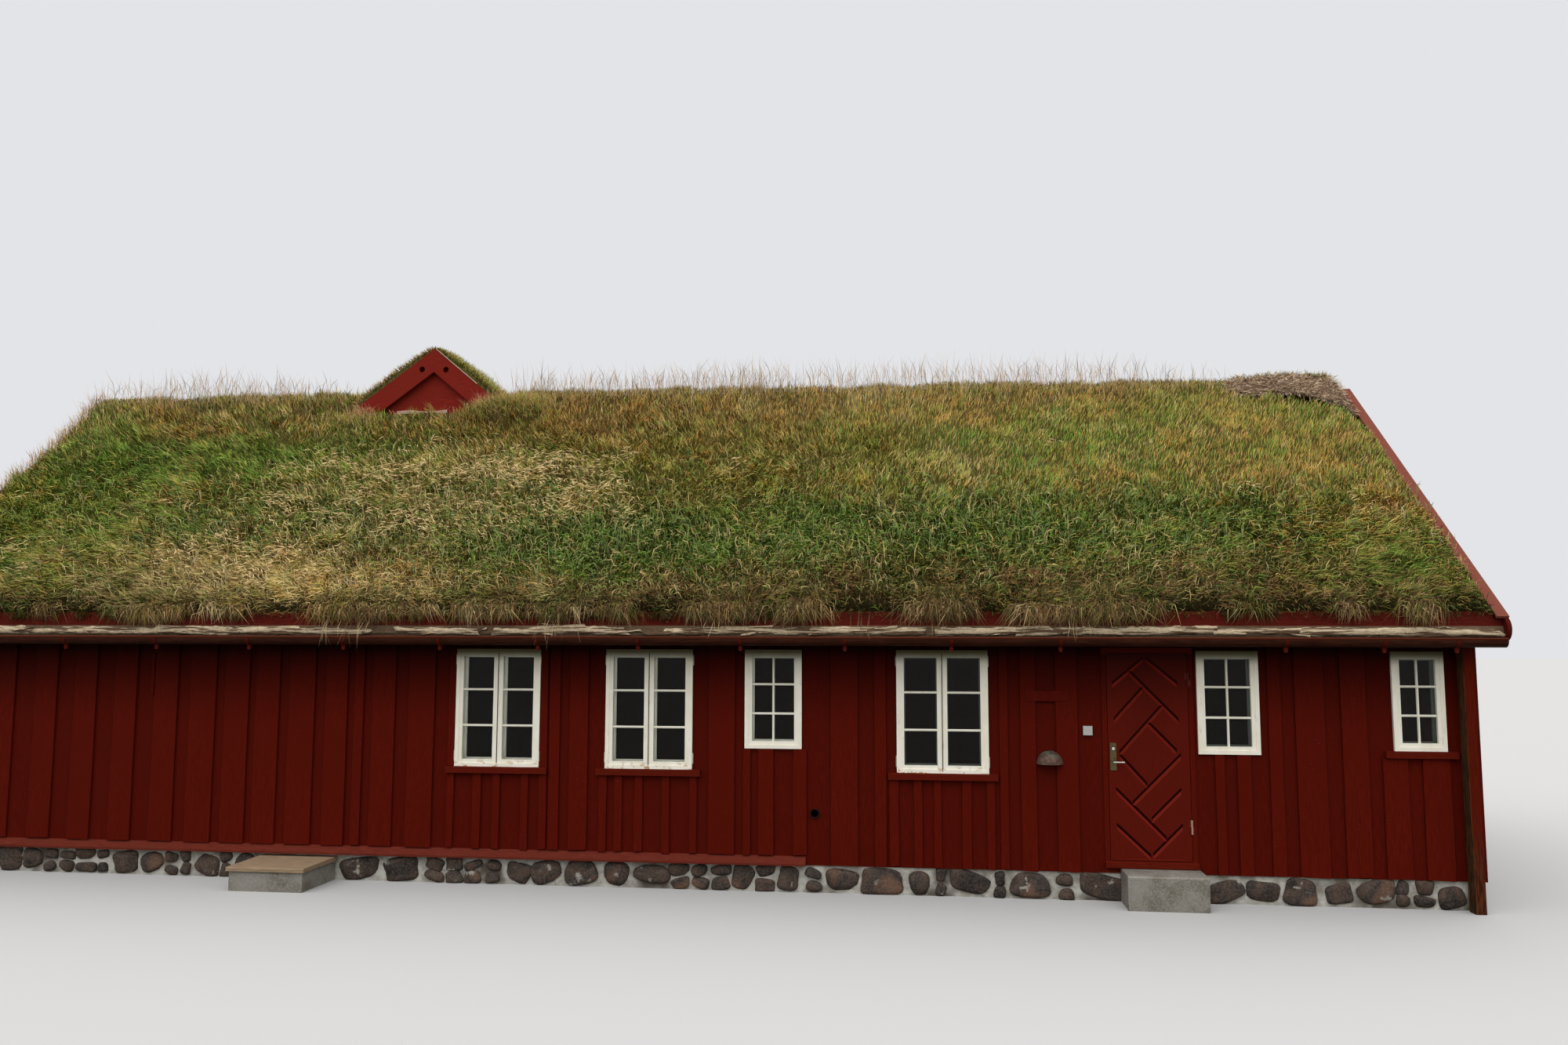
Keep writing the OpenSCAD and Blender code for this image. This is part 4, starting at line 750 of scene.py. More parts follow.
def bark_row(name, side, material, count, low, high, lengths, heights, curl, tilt=0.0):
    batch = Batch()
    x_low = LEFT_X - BARK_PAST_WALL
    x_high = RIGHT_X + BARK_PAST_WALL
    pitch = (x_high - x_low) / count
    for k in range(count):
        x0 = x_low + pitch * (k + bark_random.uniform(-0.2, 0.3))
        x1 = min(x0 + bark_random.uniform(*lengths), x_high)
        x0 = max(x0, x_low)
        z = EAVES_Z + bark_random.uniform(low, high)
        if x1 - x0 > 0.05:
            height = bark_random.uniform(*heights)
            out = bark_random.uniform(0.026, 0.034)
            roll = bark_random.uniform(0.3, 1.0) * curl
            bark_strip(batch, side, x0, x1, z, height, out, roll, bark_random.uniform(-1, 1) * tilt)
    batch.piece(name, material, "birch_bark", smooth=True)


for label, facing in SIDES:
    bark_row(label + "_bark_strips", facing, BARK_PALE, 19, -0.004, 0.014, (0.80, 1.20), (0.056, 0.092), 0.018, 0.014)
    # The dark layers are partly painted shade under the pale strips
    bark_row(label + "_bark_layers", facing, BARK, 12, -0.034, -0.004, (0.35, 0.95), (0.025, 0.050), 0.008)
    bark_row(label + "_bark_scraps", facing, BARK_PALE, 26, -0.030, 0.036, (0.07, 0.30), (0.014, 0.038), 0.030, 0.10)


# Turf
def value_noise(u, v, cell, seed):
    """Smooth random heights from -1 to 1, at a spacing of one cell."""
    grid = np.random.default_rng(seed).random((96, 96))
    a = np.asarray(u) / cell + 40
    b = np.asarray(v) / cell + 40
    i = np.floor(a).astype(int)
    j = np.floor(b).astype(int)
    f, g = (t * t * (3 - 2 * t) for t in (a - i, b - j))
    low, high = (grid[i % 96, k % 96] * (1 - f) + grid[(i + 1) % 96, k % 96] * f for k in (j, j + 1))
    return (low * (1 - g) + high * g) * 2 - 1


def swells(u, v, *terms, start=0):
    """Adds up smooth heights, each given as its size, cell and seed."""
    return sum((size * value_noise(u, v, cell, seed) for size, cell, seed in terms), start)


def bump(x, d, middle_x, middle_d, half_x, half_d):
    """A soft hill over the slope, 1 at its middle."""
    return np.exp(-((x - middle_x) / half_x) ** 2 - ((d - middle_d) / half_d) ** 2)


def unit(v):
    return v / (np.linalg.norm(v, axis=-1, keepdims=True) + 1e-12)


def columns(*parts):
    return np.stack(parts, -1)


# The turf's section: distance from the ridge and thickness above the roof boards
TURF_SECTION = [
    (0.0, 0.245), (0.13, 0.284), (0.30, 0.274), (0.70, 0.247), (1.50, 0.228), (2.60, 0.240), (3.55, 0.225),
    (3.74, 0.205),
]
# The lip over the eaves: distance from the ridge and height over the turf board
LIP = [(3.83, 0.105), (3.872, 0.060), (3.868, 0.015), (3.83, -0.004)]
SECTION = [(r, roof_z(r, n)) for r, n in TURF_SECTION] + [(r, TURF_BOARD_TOP + n) for r, n in LIP]
SECTION_R, SECTION_Z = np.array(SECTION).T
SECTION_D = np.concatenate([[0.0], np.cumsum(np.hypot(np.diff(SECTION_R), np.diff(SECTION_Z)))])
SLOPE_LEN = SECTION_D[-1]
LIP_D = SECTION_D[len(TURF_SECTION) - 1]
# The turf laps over the left verge cap and thins out towards the right one
CAPS = islands("verge_caps")
TURF_LEFT = CAPS[0][0].x + 0.03
TURF_RIGHT = CAPS[-1][0].x
THIN_AT_CAP = 0.166
THIN_FALL = 1 / 6
LAP_LOW = 0.125
GABLET_LOW, GABLET_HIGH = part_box("gablet_deck")
GABLET_X = (GABLET_LOW.x + GABLET_HIGH.x) / 2
GABLET_HALF = (GABLET_HIGH.x - GABLET_LOW.x) / 2
GABLET_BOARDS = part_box("gablet_barge_boards")
GABLET_REACH = RIDGE_Y - GABLET_BOARDS[0].y
# Swellings of the turf: middle x, distance down the slope, half widths, height
MOUNDS = [
    (GABLET_X + GABLET_HALF + 0.10, 0.64, 0.50, 0.24, 0.20), (GABLET_X - GABLET_HALF + 0.05, 0.80, 0.5, 0.3, 0.03),
    (-8.1, 0.4, 0.5, 0.5, 0.03), (-5.6, 1.7, 0.9, 0.35, 0.045), (-1.6, 2.3, 0.8, 0.35, 0.04),
    (1.9, 2.2, 1.1, 0.4, 0.04), (4.3, 2.9, 0.9, 0.35, 0.04), (7.2, 3.6, 0.9, 0.35, 0.04),
    (-7.2, 3.0, 0.9, 0.3, 0.04), (-3.6, 4.5, 0.7, 0.25, 0.035),
]


def turf_lumps(x, d, side):
    seed = 100 if side > 0 else 200
    lumps = swells(x, d, (0.030, 0.9, seed), (0.026, 0.35, seed + 1), (0.012, 0.12, seed + 2))
    lumps = lumps * np.clip((SLOPE_LEN - d) / 0.25, 0.15, 1.0) * np.clip(d / 0.5, 0.0, 1.0)
    crest = np.interp(x, [-8.9, -8.3, -5.0, 0.0, 4.5, 7.3], [0.02, 0.075, 0.075, 0.045, 0.005, -0.02])
    crest = swells(x, x * 0, (0.022, 1.3, 108), (0.016, 0.4, 109), start=crest)
    lumps = lumps + crest * np.exp(-(d / 0.5) ** 2)
    lumps = lumps * np.clip((TURF_RIGHT - x) / 0.5, 0.1, 1.0)
    if side > 0:
        for *spot, height in MOUNDS:
            lumps = lumps + height * bump(x, d, *spot)
    return lumps


def turf_point(x, d, side):
    """A point on the turf at x, at the distance d down the slope, the way it faces and the way down."""
    ahead = [np.interp(d + step, SECTION_D, table) for table in (SECTION_R, SECTION_Z) for step in (-0.03, 0.0, 0.03)]
    r1, r, r2, z1, z, z2 = ahead
    run = np.hypot(r2 - r1, z2 - z1) + 1e-9
    out_r = -(z2 - z1) / run * np.clip(d / 0.15, 0.0, 1.0)
    out_z = np.where(d > 0.15, (r2 - r1) / run, np.sqrt(1 - out_r ** 2))
    h = turf_lumps(x, d, side)
    slope = RIDGE_Z - r * math.tan(PITCH)
    gap = 0.06 * np.clip((x - TURF_RIGHT + 0.16) / 0.12, 0, 1) * np.clip((1.15 - d) / 0.3, 0, 1)
    right = THIN_AT_CAP - gap + (TURF_RIGHT - x) * THIN_FALL
    left = np.interp(d, [0.0, 0.7, 2.3], [0.27, 0.20, 0.185]) + (x - TURF_LEFT) * 0.28
    thinned = slope + np.minimum(right, left) / math.cos(PITCH)
    level = np.minimum(z + out_z * h, thinned + 0.3 * h)
    near = np.clip((TURF_LEFT + 0.08 - x) / 0.08, 0.0, 1.0)
    level = level - (1 - np.sqrt(1 - near * near)) * np.clip(level - slope - LAP_LOW / math.cos(PITCH), 0.0, 0.3)
    flat = np.zeros_like(x)
    point = columns(x, RIDGE_Y - side * (r + out_r * h), level)
    return point, columns(flat, -side * out_r, out_z), columns(flat, -side * out_z, -out_r)


def in_gablet(x, y, margin):
    return (np.abs(x - GABLET_X) < GABLET_HALF + margin) & (np.abs(y - RIDGE_Y) < GABLET_REACH + margin)


# Grass colours and where on the front slope each one gathers
GREEN = (0.165, 0.255, 0.040)
DEEP = (0.072, 0.120, 0.021)
OLIVE = (0.290, 0.270, 0.052)
STRAW = (0.500, 0.390, 0.160)
BROWN = (0.260, 0.155, 0.060)
RUST = (0.430, 0.250, 0.062)
PALETTE = np.array([GREEN, DEEP, OLIVE, STRAW, BROWN, RUST])
EVERYWHERE = np.array([0.22, 0.10, 0.30, 0.16, 0.10, 0.12])
PALETTE_SEED = 300
# Each patch: middle x, distance down the slope, its two half widths, and what it adds of the six colours
PATCHES = [
    (-7.2, 1.6, 1.5, 0.6, (2.6, 0.9, 0.2, 0, 0, 0)), (-5.7, 1.9, 1.3, 0.5, (2.0, 0.4, 0.3, 0, 0, 0)),
    (-4.3, 1.5, 0.9, 0.5, (1.8, 0.5, 0.2, 0, 0, 0)), (-7.3, 0.5, 1.4, 0.4, (0.1, 0, 0.3, 0.5, 0.3, 0.9)),
    (-5.2, 1.0, 0.8, 0.3, (0, 0, 0.3, 0.5, 0.3, 0.7)), (-1.6, 0.9, 1.3, 0.7, (0, 0.1, 0.2, 0.2, 0.8, 1.0)),
    (-3.7, 2.2, 1.3, 0.5, (0.2, 0.1, 0.7, 1.0, 0.1, 0.4)), (-2.2, 2.7, 1.6, 0.7, (0.2, 0.4, 0.6, 1.1, 0.2, 0.2)),
    (-4.1, 3.4, 0.9, 0.5, (0.5, 0.6, 0.4, 0.4, 0.2, 0.1)), (-5.9, 3.6, 0.9, 0.4, (1.0, 1.1, 0.3, 0, 0.6, 0)),
    (-0.9, 3.0, 0.9, 0.4, (0.3, 0.3, 0.3, 0.7, 0.1, 0)), (8.55, 4.3, 0.35, 0.5, (2.6, 0, 1.6, 0, 0, 0)),
    (-4.9, 4.3, 1.3, 0.40, (0, 0, 0.3, 2.2, 0.5, 0.6)), (-7.8, 4.2, 1.0, 0.6, (1.2, 0.6, 0.9, 0, 0, 0)),
    (-3.0, 4.5, 1.2, 0.4, (0, 0, 0.2, 2.6, 0.5, 0.8)), (2.6, 2.6, 1.6, 0.45, (0.5, 0, 0.9, 0.5, 0, 0.3)),
    (-7.6, 3.4, 1.4, 1.0, (0.9, 0.3, 0.9, 0.1, 0, 0.2)), (-6.2, 4.4, 1.0, 0.3, (0.4, 0.2, 0.4, 0.5, 0.4, 0.2)),
    (-0.9, 3.9, 1.2, 0.5, (1.9, 1.3, 0.1, 0.1, 0, 0)), (0.8, 3.6, 1.3, 0.45, (2.2, 1.2, 0.1, 0, 0, 0)),
    (2.6, 3.7, 1.2, 0.5, (1.2, 0.9, 0.2, 0.2, 0, 0)), (4.4, 3.7, 1.3, 0.6, (1.6, 1.0, 0.3, 0, 0, 0)),
    (6.2, 3.2, 1.0, 0.5, (1.6, 0.9, 0.4, 0.1, 0, 0.2)), (0.9, 0.6, 2.6, 0.45, (0, 0, 0.3, 0.5, 0.6, 1.5)),
    (4.8, 0.45, 2.2, 0.3, (0, 0, 0.3, 0.5, 0.6, 1.3)), (2.0, 2.0, 2.2, 0.6, (0.4, 0.1, 1.3, 0.3, 0.3, 0.4)),
    (1.0, 1.5, 1.6, 0.4, (0.1, 0, 1.2, 0.3, 0.2, 0.5)), (5.2, 1.5, 1.6, 0.5, (1.5, 0.3, 1.0, 0.1, 0, 0.3)),
    (3.6, 1.1, 1.4, 0.4, (0.2, 0, 1.0, 0.2, 0.1, 0.9)), (7.6, 2.1, 1.0, 0.9, (0.6, 0.5, 0.9, 0.1, 0.6, 1.6)),
    (7.0, 1.1, 1.2, 0.5, (0.3, 0, 1.8, 0.2, 0, 0.9)), (7.1, 3.7, 0.8, 0.5, (1.6, 1.0, 0.5, 0, 0.2, 0.2)),
    (8.3, 3.1, 0.45, 0.8, (0.3, 0, 0.9, 0.7, 0, 1.9)), (5.5, 2.4, 1.1, 0.4, (0.8, 0.2, 0.8, 0.2, 0, 0.8)),
    (5.3, 4.65, 3.4, 0.30, (0, 1.3, 0, 0.1, 2.6, 0.3)), (-1.0, 4.85, 5.0, 0.28, (0, 0.3, 0, 0.4, 1.4, 0.3)),
]


def colour_weights(x, d):
    """How much of each colour grows at a place, as running sums."""
    s = PALETTE_SEED
    weights = np.tile(EVERYWHERE, (len(x), 1))
    shift_x = swells(x, d, (0.35, 0.8, s + 40), (0.12, 0.25, s + 41), start=x)
    shift_d = swells(x, d, (0.25, 0.8, s + 42), (0.08, 0.25, s + 43), start=d)
    for *spot, adds in PATCHES:
        weights += bump(shift_x, shift_d, *spot)[:, None] * np.array(adds)
    for k in range(len(PALETTE)):
        weights[:, k] *= np.exp(swells(x, d, (0.8, 0.5, s + k), (0.9, 0.16, s + 20 + k)))
    return np.cumsum(weights, 1)


def draw_colour(random, x, d):
    share = colour_weights(x, d)
    return ((random.random(len(share)) * share[:, -1])[:, None] > share).sum(1)


def mean_colour(x, d):
    share = colour_weights(x, d)
    return np.diff(share, axis=1, prepend=0) / share[:, -1:] @ PALETTE


def tint(mesh, colours):
    rgba = np.ones((len(mesh.vertices), 4), np.float32)
    rgba[:, :3] = colours
    mesh.color_attributes.new("tone", "FLOAT_COLOR", "POINT").data.foreach_set("color", rgba.ravel())


def grid_piece(name, material, points, keep, skirts=()):
    """A sheet over a grid of points, where it is kept, and narrow skirts from one row of points to another."""
    rows, across = points.shape[:2]
    batch = Batch()
    batch.add([tuple(p) for p in points.reshape(-1, 3)], [
        (a, a + 1, a + across + 1, a + across)
        for i in range(rows - 1) for j in range(across - 1) if keep[i, j] for a in (i * across + j,)
    ])
    for upper, lower in skirts:
        m = len(upper)
        batch.add([tuple(p) for p in (*upper, *lower)], [(k, k + 1, m + k + 1, m + k) for k in range(m - 1)])
    return batch.piece(name, material, "turf", smooth=True)


def slab_edge(x):
    """How far down the front slope the dry slab reaches, measured level from the ridge."""
    edge = np.interp(x, [7.30, 7.45, 8.03, 8.35, 8.60, 8.76], [0.22, 0.30, 0.35, 0.41, 0.52, 0.60])
    return edge + 0.03 * value_noise(x, x * 0, 0.14, 541)


def under_slab(x, d, side):
    """Whether a place on the turf lies under the dry slab or in the gap before it."""
    reach = slab_edge(x) + np.interp(x, [7.6, 8.2], [0.03, 0.09]) if side > 0 else 0.24
    return (x > 7.34) & (np.interp(d, SECTION_D, SECTION_R) < reach)


# The sods take the grass's mean colour, darkened: partly darker roots, partly painted shade in the gaps between the
# blades
BED_SHADE = 0.38


def turf_bed(name, side, step, cad_node):
    """The sods under the grass, with their two cut ends."""
    xs = np.linspace(TURF_LEFT, TURF_RIGHT, int((TURF_RIGHT - TURF_LEFT) / step))
    x, d = np.meshgrid(xs, np.linspace(0.0, SLOPE_LEN, int(SLOPE_LEN / step)), indexing="ij")
    points = turf_point(x, d, side)[0]
    ends = points[[0, -1]].copy()
    lap = RIDGE_Z - np.abs(ends[..., 1] - RIDGE_Y) * math.tan(PITCH) + (LAP_LOW - 0.01) / math.cos(PITCH)
    ends[..., 2] = np.minimum(lap, ends[..., 2] - 0.03)
    points = np.concatenate([ends[:1], points, ends[1:]])
    middle = (points[:-1, :-1] + points[1:, 1:]) / 2
    bed = grid_piece(name, SOD_BED, points, ~in_gablet(middle[..., 0], middle[..., 1], -0.01))
    x, d = np.pad(columns(x, d), ((1, 1), (0, 0), (0, 0)), mode="edge").reshape(-1, 2).T
    # Painted shadow: darker at the lip over the eaves, and under and just in front of the dry slab's edge
    shade = np.interp(d, [0, LIP_D - 0.06, LIP_D + 0.02], [1, 1, 0.3])
    if side > 0:
        shade = shade * np.where((x > 7.6) & (np.interp(d, SECTION_D, SECTION_R) < slab_edge(x) + 0.10), 0.15, 1.0)
    tint(bed.data, mean_colour(x, d) * (BED_SHADE * shade)[:, None])
    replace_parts(bed, cad_node)


turf_bed("front_sods", 1, 0.08, "turf_front")
turf_bed("back_sods", -1, 0.10, "turf_back")

# Blades
SHARPNESS = 0.40
ACROSS = np.array([1.0, 0, 0])
DROOP = np.array([0, 0, -1.0])
UP = np.array([0, 0, 1.0])
# Painted shade at each blade's foot and painted light at its tip: shares for the foot, the two corners at the bend and
# the tip
BLADE_SHADES = (0.32, 1.0, 1.0, 1.38)


def bent(base, rise, fall, reach, first=0.5, second=0.5):
    """The feet, bends and tips of blades: they rise for the first share of their reach and fall for the second."""
    middle = base + rise * (reach * first)[:, None]
    return base, middle, middle + fall * (reach * second)[:, None]


def blade_mesh(name, random, stems, widths, colours, facing, shades=BLADE_SHADES):
    """One piece of many blades. Each is a slim leaf of two faces, bent once, shaded towards facing, its tone scaled
    along it by the shades as painted shade and light.
    """
    base, middle, tip = stems
    n = len(base)
    facing = facing + np.zeros((n, 3))
    along = unit(tip - base)
    side = unit(np.cross(along, unit(np.random.default_rng(n).normal(size=(n, 3)))))
    side[(np.cross(side, along) * facing).sum(1) < 0] *= -1
    flat = np.cross(side, along)
    half = side * (random.uniform(*widths, n) / 2)[:, None]
    points = np.stack([base, middle - half, middle + half, tip], 1)
    corners = np.array([0, 2, 1, 1, 2, 3])
    mesh = bpy.data.meshes.new(name)
    mesh.vertices.add(n * 4)
    mesh.vertices.foreach_set("co", points.astype(np.float32).ravel())
    mesh.loops.add(n * 6)
    mesh.loops.foreach_set("vertex_index", (np.arange(n)[:, None] * 4 + corners).astype(np.int32).ravel())
    mesh.polygons.add(n * 2)
    mesh.polygons.foreach_set("loop_start", (np.arange(n * 2) * 3).astype(np.int32))
    mesh.polygons.foreach_set("use_smooth", np.ones(n * 2, bool))
    mesh.update(calc_edges=True)
    soft = unit(flat * SHARPNESS + facing * (1 - SHARPNESS))
    mesh.normals_split_custom_set_from_vertices(np.repeat(soft, 4, axis=0).astype(np.float32))
    tint(mesh, (colours[:, None, :] * np.array(shades)[:, None]).reshape(-1, 3))
    mesh.materials.append(GRASS)
    return settle(name, mesh)


# Stretches of the front turf board that show bare, and the large tufts that hang over it: middle x, strength
BARE = [
    (-6.95, -6.50), (-6.33, -5.62), (-4.04, -3.30), (0.28, 0.98), (1.69, 1.88), (2.40, 3.28), (3.83, 4.45),
    (5.70, 7.35), (7.54, 7.98), (8.22, 8.80),
]
TUFTS = [
    (-5.2, 0.9), (-4.8, 0.7), (-3.0, 0.8), (-2.6, 0.9), (-2.1, 0.8), (-1.6, 0.7), (-1.1, 0.5), (-0.49, 0.7),
    (0.17, 1.0), (1.10, 0.8), (1.36, 0.7), (2.05, 1.0), (3.40, 0.9), (3.65, 0.8), (4.55, 0.9), (4.9, 0.8),
    (5.3, 0.9), (5.6, 0.7), (6.56, 0.5), (7.44, 0.5), (8.10, 0.9), (-8.4, 0.6), (-7.7, 0.8), (-7.2, 0.5),
]
EAVES_OVER = 0.12


def clip_over(points, left_over, right_over):
    """Keeps points from reaching too far past a verge or an eaves."""
    points[:, 0] = np.clip(points[:, 0], TURF_LEFT - left_over, TURF_RIGHT + right_over)
    points[:, 1] = np.clip(points[:, 1], RIDGE_Y - REACH - EAVES_OVER, RIDGE_Y + REACH + EAVES_OVER)


def keep_up(tip):
    """Lifts the tips that would hang too low over an eaves, most of all where the turf board shows bare."""
    x = tip[:, 0]
    lowest = TURF_BOARD_TOP + 0.012 + 0.026 * value_noise(x, x * 0, 0.22, 551)
    lowest -= 0.060 * (1 - sum(((x > low) & (x < high)).astype(float) for low, high in BARE))
    tip[:, 2] = np.where(np.abs(tip[:, 1] - RIDGE_Y) > REACH - 0.08, np.maximum(tip[:, 2], lowest), tip[:, 2])


def on_turf(x, d, side, *others):
    """Each place's point, facing and way down, without what stands in the small gable or under the slab."""
    base, normal, down = turf_point(x, d, side)
    keep = ~in_gablet(base[:, 0], base[:, 1], 0.0) & ~under_slab(x, d, side)
    return [v[keep] for v in (x, d, base, normal, down, *others)]


def wildness(x, d):
    """How roughly the grass lies: from 0, short and upright, to 1, long and matted."""
    left = np.interp(d, [0.0, 0.6, 1.6, 3.0, 3.9], [0.25, 0.35, 0.60, 0.72, 0.9])
    right = np.interp(d, [0.0, 0.6, 2.4, 3.2, 3.9], [0.15, 0.12, 0.22, 0.55, 0.9])
    share = np.clip((x - 1.0) / 3.0, 0, 1)
    return np.clip(left * (1 - share) + right * share + 0.15 * value_noise(x, d, 0.7, 350), 0.05, 1.0)


def blade_light(x, d):
    """Evens out the light: brighter towards the ridge and in the straw, darker near the eaves."""
    even = np.interp(d, [0.0, 0.5, 1.2, 2.6, 3.8, 4.6, 4.95], [1.20, 1.18, 1.22, 1.26, 1.13, 0.86, 0.62])
    return even * (1 + 0.85 * bump(x, d, -3.0, 4.7, 1.2, 0.35))


def grow(name, side, count, seed, widths, x_range=(0.0, 1.0), spacing=0.20, longer=1.0):
    """Grass over one slope: upright where it is calm, in lying tussocks where it is wild."""
    random = np.random.default_rng(seed)
    x_low, x_high = (TURF_LEFT + share * (TURF_RIGHT - TURF_LEFT) for share in x_range)
    clumps = int((x_high - x_low) * SLOPE_LEN / spacing ** 2)
    cx = random.uniform(x_low, x_high, clumps)
    cd = random.uniform(0.0, SLOPE_LEN, clumps)
    vigour = random.uniform(0.75, 1.25, clumps) * (1 + 0.25 * value_noise(cx, cd, 0.7, 362))
    colour = draw_colour(random, cx, cd)
    light = random.uniform(0.85, 1.15, clumps)
    turn = 0.9 * value_noise(cx, cd, 0.9, 360) + random.normal(0, 0.6, clumps)
    own = random.integers(0, clumps, count)
    free = random.random(count) < 0.75 - 0.45 * wildness(cx, cd)[own]
    spread = random.normal(0, 0.30 * spacing, (count, 2))
    x = np.where(free, random.uniform(x_low, x_high, count), cx[own] + spread[:, 0])
    d = np.where(free, random.uniform(0.0, SLOPE_LEN, count), cd[own] + spread[:, 1])
    x = np.clip(x, TURF_LEFT + 0.01, TURF_RIGHT - 0.005)
    d = np.clip(np.abs(d), 0.0, SLOPE_LEN - 0.03)
    x, d, base, normal, down, own, free, spread = on_turf(x, d, side, own, free, spread)
    n = len(x)
    wild = wildness(x, d)[:, None]
    across = np.cross(down, normal) * side
    loose = 0.9 * value_noise(x, d, 0.9, 360) + random.normal(0, 0.9, n)
    swirl = np.where(free, loose, turn[own] + random.normal(0, 0.3, n))
    flow = down * np.cos(swirl)[:, None] + across * np.sin(swirl)[:, None]
    splay = (across * spread[:, :1] + down * spread[:, 1:]) / (0.30 * spacing)
    splay[free] = 0
    calm_rise = unit(UP * 0.75 + normal * 0.35 - across * 0.10 + random.normal(0, 0.20, (n, 3)))
    wild_rise = unit(normal + flow * 0.5 + splay * 0.22 + random.normal(0, 0.22, (n, 3)))
    rise = unit(calm_rise * (1 - wild) + wild_rise * wild)
    fall = rise + (flow * 0.6 + splay * 0.25 + DROOP * 0.42) * wild + random.normal(0, 0.16, (n, 3))
    fall = unit(fall - across * 0.12 * (1 - wild))
    reach = (0.075 + 0.085 * wild[:, 0]) * random.uniform(0.6, 1.55, n) * np.where(free, 0.85, vigour[own]) * longer
    edge = np.minimum(TURF_RIGHT - x, x - TURF_LEFT)
    reach = reach * np.clip(0.45 + edge / 0.35, 0.45, 1.0)
    foot, middle, tip = bent(base, rise, fall, reach)
    clip_over(tip, 0.05, 0.035)
    keep_up(tip)
    mixed = draw_colour(random, x, d)
    choice = np.where(free | (random.random(n) < 0.65), mixed, colour[own])
    bright = random.uniform(0.60, 1.40, n) * np.where(free, 1.0, light[own]) * (1 + 0.14 * value_noise(x, d, 0.3, 370))
    colours = PALETTE[choice] * (bright * blade_light(x, d))[:, None]
    blade_mesh(name, random, (foot - normal * 0.012, middle, tip), widths, colours, normal)


for part in range(4):
    grow(f"front_grass_{part + 1}", 1, 62000, 400 + part, (0.0045, 0.0085), (part / 4, part / 4 + 0.25))
grow("back_grass", -1, 36000, 440, (0.009, 0.016), spacing=0.26, longer=1.35)


def leaves(name, spots, count, seed, lengths, widths, tones, lift, side=1, shades=BLADE_SHADES):
    """Grass of its own kind in a few places: middle x, distance down, two half widths, share, height."""
    random = np.random.default_rng(seed)
    spots = np.array(spots)
    own = spots[random.choice(len(spots), count, p=spots[:, 4] / spots[:, 4].sum())]
    x = np.clip(random.normal(own[:, 0], own[:, 2]), TURF_LEFT + 0.02, TURF_RIGHT - 0.02)
    d = np.clip(np.abs(random.normal(own[:, 1], own[:, 3])), 0.0, SLOPE_LEN - 0.05)
    x, d, base, normal, down, own = on_turf(x, d, side, own)
    n = len(base)
    reach = random.uniform(*lengths, n) * own[:, 5]
    sway = random.normal(0, 0.45 - 0.2 * lift, (n, 3))
    rise = unit(UP * lift + normal * (1 - lift) + sway * 0.6)
    fall = unit(rise + sway + (DROOP * 0.8 + down * 0.4) * (1 - lift))
    foot, middle, tip = bent(base, rise, fall, reach, 0.6, 0.4)
    clip_over(tip, 0.05, 0.02)
    keep_up(tip)
    colours = np.array(tones)[random.integers(0, len(tones), n)] * random.uniform(0.7, 1.25, n)[:, None]
    blade_mesh(name, random, (foot - normal * 0.01, middle, tip), widths, colours, normal, shades)


leaves("broad_blades", [
    (-0.6, 3.7, 1.1, 0.45, 1.2, 1.0), (1.4, 3.9, 1.3, 0.45, 1.2, 1.0), (4.6, 3.8, 1.2, 0.45, 1.4, 1.0),
    (-3.4, 3.4, 1.6, 0.6, 1.0, 1.0), (6.6, 3.3, 1.0, 0.40, 0.9, 0.9), (-6.8, 3.4, 1.4, 0.6, 0.7, 1.0),
    (-1.8, 2.6, 1.0, 0.5, 0.5, 0.9), (3.0, 3.2, 1.2, 0.5, 0.6, 0.9),
], 11000, 451, (0.16, 0.30), (0.008, 0.013), ((0.20, 0.27, 0.085), (0.115, 0.175, 0.060), GREEN, STRAW), 0.25)
GABLET_RIGHT = GABLET_X + GABLET_HALF
leaves("gable_foot_grass", [
    (GABLET_RIGHT - 0.05, 0.74, 0.20, 0.05, 1.2, 1.0), (GABLET_RIGHT + 0.30, 0.45, 0.22, 0.22, 0.8, 0.8),
    (GABLET_X - GABLET_HALF, 0.76, 0.20, 0.08, 0.5, 0.7), (GABLET_X, 0.80, 0.50, 0.05, 0.3, 0.35),
], 5000, 495, (0.13, 0.27), (0.004, 0.008), (OLIVE, RUST, STRAW, GREEN, BROWN), 0.7)
RIDGE_TONES = ((0.40, 0.25, 0.10), (0.30, 0.19, 0.08), (0.34, 0.29, 0.07), (0.22, 0.24, 0.05), (0.52, 0.38, 0.20))
ridge_random = np.random.default_rng(31)
RIDGE_SPOTS = [
    (x, 0.04, 0.10, 0.09, ridge_random.uniform(0.4, 1.5), ridge_random.uniform(0.6, 1.4))
    for x in np.arange(TURF_LEFT + 0.1, TURF_RIGHT, 0.2)
]
# The ridge grass has painted shade at its feet and painted light at its tips
for label, facing in SIDES:
    leaves(label + "_ridge_grass", RIDGE_SPOTS, 18000 if facing > 0 else 8000, 520 + facing, (0.05, 0.13),
           (0.004, 0.008), RIDGE_TONES, 0.8, facing, (0.7, 1.0, 1.0, 1.2))
STALK_TONES = ((0.36, 0.20, 0.10), (0.46, 0.27, 0.15), (0.34, 0.26, 0.11), (0.52, 0.38, 0.22))
